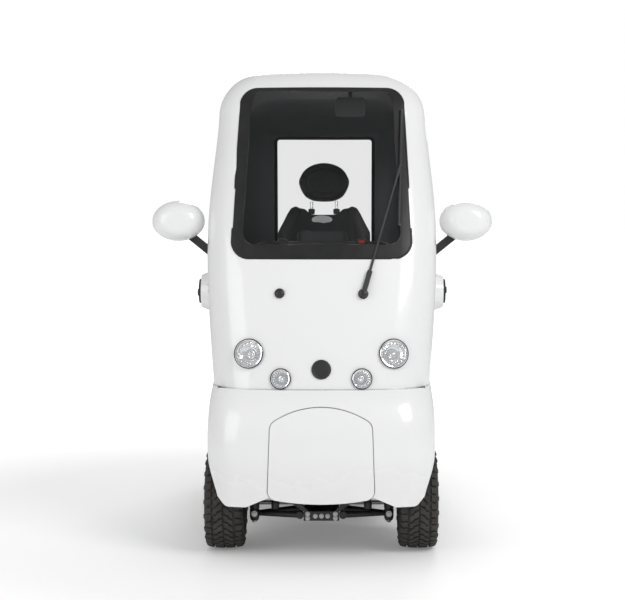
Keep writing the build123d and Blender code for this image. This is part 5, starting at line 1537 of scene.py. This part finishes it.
spindle_place, spindle_out = across_hole(*SPINDLE, 0.021)
arm_root = spindle_place + spindle_out * 0.010
end_place, end_out = glass_skin.front(*ARM_END)
arm_head = end_place + end_out * ARM_LIFT
arm_out = (spindle_out + end_out).normalized()
arm_line = [(arm_root.lerp(arm_head, k / ARM_STEPS), arm_out) for k in range(ARM_STEPS + 1)]
fold = round(ARM_STEPS * HINGE_SHARE)
arm_parts = [turned("spindle", SPINDLE_PROFILE, frame_at(spindle_place, spindle_out), 32)]
arm_parts.append(strip("arm_root", arm_line[: fold + 1], ARM_WIDE))
arm_parts.append(strip("arm", arm_line[fold:], ARM_SLIM))
blade = skin_line(*BLADE_ENDS, BLADE_POINTS, 0.0)
arm_parts.append(strip("spine", blade, SPINE))
clip_line = [(place - arm_out * CLIP_SINK, arm_out) for place in (arm_head, arm_head.lerp(arm_root, 0.09))]
arm_parts.append(strip("clip", clip_line, [(x * 1.5, z * 1.6) for x, z in ARM_SLIM]))
for stop in (0, -1):
    place, normal = blade[stop]
    arm_parts.append(turned("end_cap", BLADE_CAP, frame_at(place, normal), 16))
lip = strip("lip", blade, RUBBER_LIP)
piece("wiper_arm", joined("wiper", *arm_parts, lip), "chassis", "black_trim", replaces=["wiper"])

# %% [markdown]
# The windscreen and the rear window are held by a rubber section. Its outer bead is added here, as a
# strip on the edge of the CAD seal. A few rays slip through the gap beside a seal, so the line bridges
# those points.

# %% Glazing beads
SCREEN = [(-0.297, 0.956), (0.297, 0.956), (0.276, 1.531), (-0.276, 1.531)]
SCREEN_CORNER = 0.056
REAR_WINDOW = [(-0.214, 0.930), (0.214, 0.930), (0.214, 1.428), (-0.214, 1.428)]


def outline_points(corners, radius, step=0.012):
    """A rounded outline with even points."""
    outline = rounded(corners, radius, 8)
    return spread(outline + outline[:1], step)[:-1]


body_skin = Surface("front_shell", "rear_shell", "roof_shell", "window_seals", "windscreen", "rear_windows",
                    "door_left", "door_right")
SLIPPED = 0.30


def edge_line(find, outline, sign):
    """The skin along a window's edge. Where a ray slips through the gap, the line joins its neighbours."""
    hits = [find(x, z) for x, z in outline]
    good = [k for k, (place, _) in enumerate(hits) if sign * place.y > SLIPPED]
    line = []
    for k in range(len(hits)):
        before = max((g for g in good if g <= k), default=good[-1] - len(hits))
        after = min((g for g in good if g >= k), default=good[0] + len(hits))
        share = (k - before) / (after - before) if after > before else 0
        first, last = hits[before % len(hits)], hits[after % len(hits)]
        line.append((first[0].lerp(last[0], share), first[1].lerp(last[1], share).normalized()))
    return line


bead_lines = [edge_line(body_skin.front, outline_points(SCREEN, SCREEN_CORNER), -1),
              edge_line(body_skin.rear, outline_points(REAR_WINDOW, 0.028), 1)]
beads = [strip("bead", line, lip_section(0.0042, 0.0032), closed=True) for line in bead_lines]
piece("glazing_beads", joined("beads", *beads), "chassis", "seal_rubber")

# %% [markdown]
# A thin grey strip closes the joint where the nose meets the cab. It runs round the front at the height
# of the nose's top edge.

# %% Nose joint
NOSE_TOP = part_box("front_fenders")[1].z
NOSE_CENTRE = Vector((0, -0.42, NOSE_TOP + 0.0012))
NOSE_SWEEP = 96
NOSE_HALF_TURN = math.radians(118)
cab_skin = Surface("front_shell")
joint_line = []
for k in range(NOSE_SWEEP + 1):
    turn = NOSE_HALF_TURN * (2 * k / NOSE_SWEEP - 1)
    way = Vector((math.sin(turn), -math.cos(turn), 0))
    joint_line.append(cab_skin.meet(NOSE_CENTRE + way * REACH / 2, -way))
joint = strip("joint", joint_line, lip_section(0.0010, 0.0005))
piece("nose_joint", joint, "chassis", "seal_rubber", finish="badge_grey")
# %% [markdown]
# Inside, the white mouldings are hidden by a dark trim. It is cut from the CAD walls themselves: the
# faces that look into the cab are copied, lifted a little off the wall and given their own thickness. The
# copy's slivers have no sure direction, so a face with two chosen neighbours is chosen too.

# %% Cab linings
LINING_LIFT = 0.0004
LINING_THICKNESS = 0.0018
SLIVER = 0.0002
CAB_CORE = ((-0.20, 0.55), (0.60, 1.25))


def into_cab(face):
    """How much a face looks towards the middle of the cab, from -1 to 1."""
    place = face.calc_center_median()
    (y_low, y_high), (z_low, z_high) = CAB_CORE
    core = Vector((0, min(max(place.y, y_low), y_high), min(max(place.z, z_low), z_high)))
    return face.normal.dot((core - place).normalized())


def lining(name, node, looks_in):
    """A thin trim panel over the faces of a CAD node that pass a test."""
    shape = bmesh.new()
    shape.from_mesh(nodes[node].data)
    bmesh.ops.remove_doubles(shape, verts=shape.verts, dist=MERGE)
    bmesh.ops.dissolve_degenerate(shape, edges=shape.edges, dist=SLIVER)
    shape.normal_update()
    kept = {face for face in shape.faces if looks_in(face) > 0.5}
    for _ in range(4):
        kept |= {face for face in shape.faces
                 if sum(any(other in kept for other in edge.link_faces) for edge in face.edges) > 1}
    bmesh.ops.delete(shape, geom=[face for face in shape.faces if face not in kept], context="FACES")
    shape.normal_update()
    ways = [sum((face.normal * face.calc_area() for face in vert.link_faces), Vector()).normalized()
            for vert in shape.verts]
    lower = list(shape.verts)
    sheet = [*shape.faces, *shape.edges, *lower]
    raised = bmesh.ops.extrude_face_region(shape, geom=sheet, use_keep_orig=True)
    upper = [item for item in raised["geom"] if isinstance(item, bmesh.types.BMVert)]
    near = {tuple(vert.co): way for vert, way in zip(lower, ways)}
    for vert in upper:
        vert.co += near[tuple(vert.co)] * (LINING_LIFT + LINING_THICKNESS)
    for vert, way in zip(lower, ways):
        vert.co += way * LINING_LIFT
    return to_mesh(name, shape, smooth=False)


for part in ("front", "rear", "roof"):
    piece(f"lining_{part}", lining("lining", f"{part}_shell", into_cab), "chassis", "grey_lining")
for part, sign in (("left", 1), ("right", -1)):
    trim = lining("door_trim", f"door_{part}", lambda face: -sign * face.normal.x)
    piece(f"door_trim_{part}", trim, f"{part}_door", "dash_black")

# %% [markdown]
# The tiller's own frame has its Z along the column, so everything on the console is placed in it: a small
# screen, a speed knob, a key switch, rockers and lights. Grips are turned, with ribs from one short
# profile.

# %% Tiller controls
TILLER_TILT = math.radians(15)
tiller_place = Matrix.Translation((0, -0.5635, 0.145)) @ Matrix.Rotation(-TILLER_TILT, 4, "X")
CONSOLE_TOP = 0.9243
GRIP_RIBS = 11
GRIP_LENGTH = 0.128
GRIP_START = 0.078
BAR_REAR = 0.112
BAR_FRONT = -0.040
BAR_HEIGHT = 0.870
LEVER_DROP = 0.014
LEVER_LINE = [(0.062, 0.098), (0.085, 0.074), (0.120, 0.062), (0.165, 0.060), (0.200, 0.068)]
POD_X = 0.135
SCREEN_Y = 0.050
KNOB_SPOT = (-0.056, 0.046)
KEY_SPOT = (0.058, 0.046)
ROCKER_SPOTS = (-0.030, 0.0, 0.030)
ROCKER_Y = 0.014
LIGHT_SPOTS = (-0.016, 0.016)
LIGHT_Y = 0.0795


def on_console(x, y, sink=0.0):
    """A matrix on the console's top face."""
    return tiller_place @ Matrix.Translation((x, y, CONSOLE_TOP - sink))


def grip_profile():
    profile = [(0, 0), (0, 0.0185), (0.004, 0.0205), (0.008, 0.0175)]
    pitch = (GRIP_LENGTH - 0.020) / GRIP_RIBS
    for rib in range(GRIP_RIBS):
        start = 0.010 + rib * pitch
        profile += [(start, 0.0160), (start + 0.3 * pitch, 0.0172), (start + 0.7 * pitch, 0.0172)]
    return profile + [(GRIP_LENGTH - 0.006, 0.0165), (GRIP_LENGTH, 0.0140), (GRIP_LENGTH, 0)]


KNOB_SHAPE = [(0, 0), (0, 0.0165), (0.003, 0.0165), (0.0045, 0.0130), (0.014, 0.0118), (0.0155, 0.0100),
              (0.0155, 0)]
KEY_RING = [(0, 0), (0, 0.0125), (0.003, 0.0125), (0.0045, 0.0105), (0.0035, 0.0075), (0.0035, 0)]
POD_SHAPE = [(-0.016, 0), (-0.016, 0.016), (-0.013, 0.0195), (0.013, 0.0195), (0.016, 0.016), (0.016, 0)]
LIGHT_SHAPE = [(0, 0), (0, 0.0036), (0.0015, 0.0034), (0.0026, 0.0020), (0.0030, 0)]
black, steel, rockers, lights = [], [], [], []
black.append(plate("surround", rectangle(0.036, 0.021, 0.005), 0.003, on_console(0, SCREEN_Y), 0.001))
screen = plate("screen", rectangle(0.031, 0.016, 0.003), 0.0034, on_console(0, SCREEN_Y), 0.0004)
black.append(turned("knob", KNOB_SHAPE, on_console(*KNOB_SPOT), 32))
black.append(plate("pointer", rectangle(0.0012, 0.0055, 0.0005), 0.0165, on_console(-0.056, 0.052), 0.0003))
steel.append(turned("key_ring", KEY_RING, on_console(*KEY_SPOT), 32))
for x in ROCKER_SPOTS:
    spot = on_console(x, ROCKER_Y)
    black.append(plate("rocker_frame", rectangle(0.0105, 0.0075, 0.002), 0.0022, spot, 0.0006))
    rockers.append(plate("rocker", rectangle(0.0085, 0.0055, 0.0012), 0.0046, spot, 0.0010))
for x in LIGHT_SPOTS:
    lights.append(turned("light", LIGHT_SHAPE, on_console(x, LIGHT_Y, 0.0004), 16))
for side in (-1, 1):
    foot = tiller_place @ Vector((side * GRIP_START, BAR_REAR, BAR_HEIGHT))
    black.append(turned("grip", grip_profile(), frame_at(foot, (side, 0, 0)), 32))
    lever = [tiller_place @ Vector((side * x, y, BAR_HEIGHT - LEVER_DROP)) for x, y in LEVER_LINE]
    black.append(tube("lever", smooth_line(lever), 0.0045, "black_trim"))
    pod = tiller_place @ Vector((side * POD_X, BAR_FRONT, BAR_HEIGHT))
    black.append(turned("pod", POD_SHAPE, frame_at(pod, (side, 0, 0)), 32))
red_place = tiller_place @ Matrix.Translation((POD_X, BAR_FRONT - 0.0185, BAR_HEIGHT + 0.004))
red_place = red_place @ Matrix.Rotation(math.pi / 2, 4, "X")
red_rocker = plate("red_rocker", rectangle(0.0105, 0.0062, 0.002), 0.0045, red_place, 0.0014)
piece("tiller_grips_and_levers", joined("controls", *black), "tiller_body", "black_trim")
piece("tiller_screen", screen, "tiller_body", "dash_black", finish="screen_grey")
piece("key_switch", joined("key", *steel), "tiller_body", "bright_steel")
piece("console_rockers", joined("rockers", *rockers), "tiller_body", "black_trim", finish="seal_rubber")
piece("indicator_light_left", lights[1], "tiller_body", "dash_black", finish="light_green")
piece("indicator_light_right", lights[0], "tiller_body", "dash_black", finish="light_amber")
piece("red_rocker", red_rocker, "tiller_body", "black_trim", finish="switch_red")

# %% [markdown]
# A ribbed rubber mat lies on the floor's raised field, and the cabin mirror gets its glass.

# %% Floor mat and cabin mirror
MAT_HALF = 0.284
MAT_Y = (-0.294, -0.021)
MAT_TOP = 0.2222
RIB_STEP = 0.011
mirror_low, mirror_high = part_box("interior_mirror")
mat_middle = sum(MAT_Y) / 2
mat_half_y = (MAT_Y[1] - MAT_Y[0]) / 2
base = plate("mat", rectangle(MAT_HALF, mat_half_y, 0.018, (0, mat_middle)), 0.0022,
             Matrix.Translation((0, 0, MAT_TOP)), 0.0007)
rib = plate("rib", rectangle(MAT_HALF - 0.012, 0.0026, 0.0012, (0, MAT_Y[0] + 0.014)), 0.0014,
            Matrix.Translation((0, 0, MAT_TOP + 0.0021)), 0.0006)
rib_count = int((2 * mat_half_y - 0.028) / RIB_STEP) + 1
ribs = row_of.make("ribs", rib, "seal_rubber", count=rib_count, step=(0, RIB_STEP, 0))
piece("floor_mat", joined("mat", base, ribs), "chassis", "seal_rubber")
mirror_face = frame_at((mirror_low.x + 0.0525, mirror_high.y + 0.0002, 1.475), (0, 1, 0), (1, 0, 0))
glass = plate("mirror", rectangle(0.047, 0.030, 0.012), 0.0012, mirror_face, 0.0004)
piece("cabin_mirror_glass", glass, "chassis", "mirror_glass")
# %% [markdown]
# Each door and the boot lid close against a rubber gasket, which shows as a dark line in the gap. The
# gasket follows the door's outline a few millimetres outside it, set back from the skin.

# %% Door and lid gaskets
DOOR_OUTLINE = [
    (-0.316, 0.245), (0.318, 0.245), (0.318, 1.425), (-0.294, 1.425), (-0.420, 0.820), (-0.316, 0.560),
]
DOOR_CORNER = 0.040
LID_HALF = 0.250
LID_HEIGHTS = (0.470, 0.872)
LID_CORNER = 0.045
GAP_MIDDLE = 0.003
SET_BACK = 0.009
GASKET = mirrored([(-0.0026, -0.003), (-0.0026, 0.002), (-0.0012, 0.004)])
INNER_READ = -0.010


def pushed_out(outline, distance):
    """A closed outline with every point moved outwards."""
    area = sum(a[0] * b[1] - b[0] * a[1] for a, b in zip(outline, outline[1:] + outline[:1]))
    way = 1 if area > 0 else -1
    moved = []
    for k, (x, y) in enumerate(outline):
        before, after = outline[k - 1], outline[(k + 1) % len(outline)]
        along = Vector((after[0] - before[0], after[1] - before[1])).normalized()
        moved.append((x + way * along.y * distance, y - way * along.x * distance))
    return moved


def gap_line(outline, find):
    """Points in the gap round a panel: just outside its outline, set back from the panel's own skin."""
    line = []
    for inner, outer in zip(pushed_out(outline, INNER_READ), pushed_out(outline, GAP_MIDDLE)):
        place, normal = find(*inner)
        shift, rise = outer[0] - inner[0], outer[1] - inner[1]
        sideways = abs(normal.x) > abs(normal.y)
        across = Vector((0, shift, rise)) if sideways else Vector((shift, 0, rise))
        across -= normal * across.dot(normal)
        line.append((place + across - normal * SET_BACK, normal))
    return line


door_outline = outline_points(DOOR_OUTLINE, DOOR_CORNER)
lid_outline = outline_points([(-LID_HALF, LID_HEIGHTS[0]), (LID_HALF, LID_HEIGHTS[0]),
                              (LID_HALF, LID_HEIGHTS[1]), (-LID_HALF, LID_HEIGHTS[1])], LID_CORNER)
gaskets = []
for part, sign in (("left", 1), ("right", -1)):
    door = Surface(f"door_{part}", f"door_glass_{part}")
    line = gap_line(door_outline, lambda y, z: door.side(sign, y, z))
    gaskets.append(strip("gasket", line, GASKET, closed=True))
lid = Surface("boot_lid")
gaskets.append(strip("gasket", gap_line(lid_outline, lid.rear), GASKET, closed=True))
piece("panel_gaskets", joined("gaskets", *gaskets), "chassis", "seal_rubber")

# %% [markdown]
# The door handle is a round dish with a pull paddle across it and a key barrel. The dish is the CAD disc.
# Everything on it rides on its door.

# %% Door handles and hinge screws
PADDLE = rectangle(0.029, 0.0115, 0.008)
HUB_SHAPE = [(0, 0), (0, 0.017), (0.0035, 0.0155), (0.0035, 0)]
RIM_PROFILE = [(-0.001, 0.0385), (0.0016, 0.0385), (0.0030, 0.0400), (0.0024, 0.0420), (-0.001, 0.0420),
               (-0.001, 0.0385)]
PULL_SHIFT = 0.004
LOCK_SHIFT = 0.0255
BARREL = [(0, 0), (0, 0.0075), (0.003, 0.0075), (0.0038, 0.0062), (0.0030, 0.0045), (0.0030, 0)]
SCREW_HEAD = [(0, 0), (0, 0.0052), (0.0012, 0.0050), (0.0024, 0.0036), (0.0030, 0)]
for part, sign in (("left", 1), ("right", -1)):
    low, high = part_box(f"door_handle_{part}")
    face_x = high.x if sign > 0 else low.x
    centre = Vector((face_x, (low.y + high.y) / 2, (low.z + high.z) / 2))
    where = frame_at(centre, (sign, 0, 0), (0, 1, 0))
    pull_place = where @ Matrix.Translation((0, PULL_SHIFT, 0))
    paddle = plate("paddle", PADDLE, 0.0075, pull_place, 0.0030)
    hub = turned("hub", HUB_SHAPE, pull_place, 32)
    rim = turned("rim", RIM_PROFILE, where, 64)
    piece(f"door_pull_{part}", joined("pull", paddle, hub, rim), f"{part}_door", "black_trim")
    barrel = turned("barrel", BARREL, where @ Matrix.Translation((0, -sign * LOCK_SHIFT, 0)), 24)
    piece(f"door_lock_{part}", barrel, f"{part}_door", "bright_steel")
head = turned("screw", SCREW_HEAD, frame_at((0, 0, 0), (0, 0, 1)), 12)
screws = []
for low, high in solids("door_hinges"):
    sign = 1 if high.x > 0 else -1
    for share in (0.12, 0.38):
        place = Vector((sign * 0.6, high.y - 0.009, low.z + share * (high.z - low.z)))
        screws.append(Surface("door_hinges").meet(place, (-sign, 0, 0)))
for low, high in solids("lid_hinges"):
    for share in (0.14, 0.36):
        place = (low.x + share * (high.x - low.x), 1.2, high.z - 0.006)
        screws.append(Surface("lid_hinges").meet(place, (0, -1, 0)))
piece("hinge_screws", copies("screws", head, screws, "bright_steel"), "chassis", "bright_steel")

# %% [markdown]
# At the back, the lid has a turning latch in a round escutcheon, and each tail lamp sits in a rubber
# frame.

# %% Boot latch and tail lamp frames
LATCH_HEIGHT = 0.520
ESCUTCHEON = [(0, 0), (0, 0.0215), (0.0018, 0.0215), (0.0032, 0.0195), (0.0032, 0)]
LATCH_BAR = rectangle(0.0165, 0.0055, 0.0045)
TAIL_HALF = (0.030, 0.105)
TAIL_CORNER = 0.026
TAIL_PLACE = (0.305, 0.640)
place, out = lid.rear(0, LATCH_HEIGHT)
where = frame_at(place, out, (1, 0, 0))
latch = [turned("escutcheon", ESCUTCHEON, where, 48), plate("bar", LATCH_BAR, 0.010, where, 0.003)]
piece("boot_latch", joined("latch", *latch), "boot_lid_body", "black_trim")
barrel = turned("barrel", BARREL, where @ Matrix.Translation((0, 0, 0.0085)), 24)
piece("boot_lock", barrel, "boot_lid_body", "bright_steel")
tail_skin = Surface("rear_shell", "tail_lamps")
frames = []
for sign in (-1, 1):
    middle = (sign * TAIL_PLACE[0], TAIL_PLACE[1])
    outline = outline_points([(middle[0] + x * TAIL_HALF[0], middle[1] + z * TAIL_HALF[1])
                              for x, z in ((-1, -1), (1, -1), (1, 1), (-1, 1))], TAIL_CORNER, 0.008)
    line = [tail_skin.rear(x, z) for x, z in pushed_out(outline, 0.0022)]
    frames.append(strip("frame", line, lip_section(0.0022, 0.0024), closed=True))
piece("tail_lamp_frames", joined("frames", *frames), "chassis", "seal_rubber")

# %% [markdown]
# Under the tail, the gearcase is bolted together in a ring on each side, and the motor has cooling fins.
# Both patterns come from the ring tree, turned about the axle and about the motor's own axis.

# %% Gearcase bolts and motor fins
CASE_BOLTS = 8
CASE_CIRCLE = 0.057
CASE_BOLT_SCALE = 0.75
FINS = 28
FIN_LENGTH = 0.118
axle = Vector((0, (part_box("tyre_rear_left")[0].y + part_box("tyre_rear_left")[1].y) / 2, TYRE_RADIUS))
case_skin = Surface("transaxle")
case_bolts = []
for sign in (-1, 1):
    place, normal = case_skin.meet(
        (sign * 0.2, axle.y, axle.z + CASE_CIRCLE), (-sign, 0, 0))
    bolt = bolt_pattern(CASE_BOLT_SCALE)
    bolt.transform(frame_at(place, normal))
    case_bolts.append(ring_of.make("bolts", bolt, "bright_steel", count=CASE_BOLTS,
                                   centre=(place.x, axle.y, axle.z), axis=(1, 0, 0)))
piece("gearcase_bolts", joined("bolts", *case_bolts), "chassis", "bright_steel")
motor_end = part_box("transaxle")[1].y
motor_axis = Vector((0, motor_end, 0.187))
MOTOR_RADIUS = 0.052
fin_place = frame_at(motor_axis + Vector((0, -0.022, MOTOR_RADIUS + 0.0012)), (0, -1, 0), (1, 0, 0))
fin = plate("fin", rectangle(0.0014, 0.0030, 0.0006), FIN_LENGTH, fin_place, 0.0004)
fins = ring_of.make("fins", fin, "frame_black", count=FINS, centre=tuple(motor_axis), axis=(0, 1, 0))
piece("motor_fins", fins, "chassis", "frame_black")
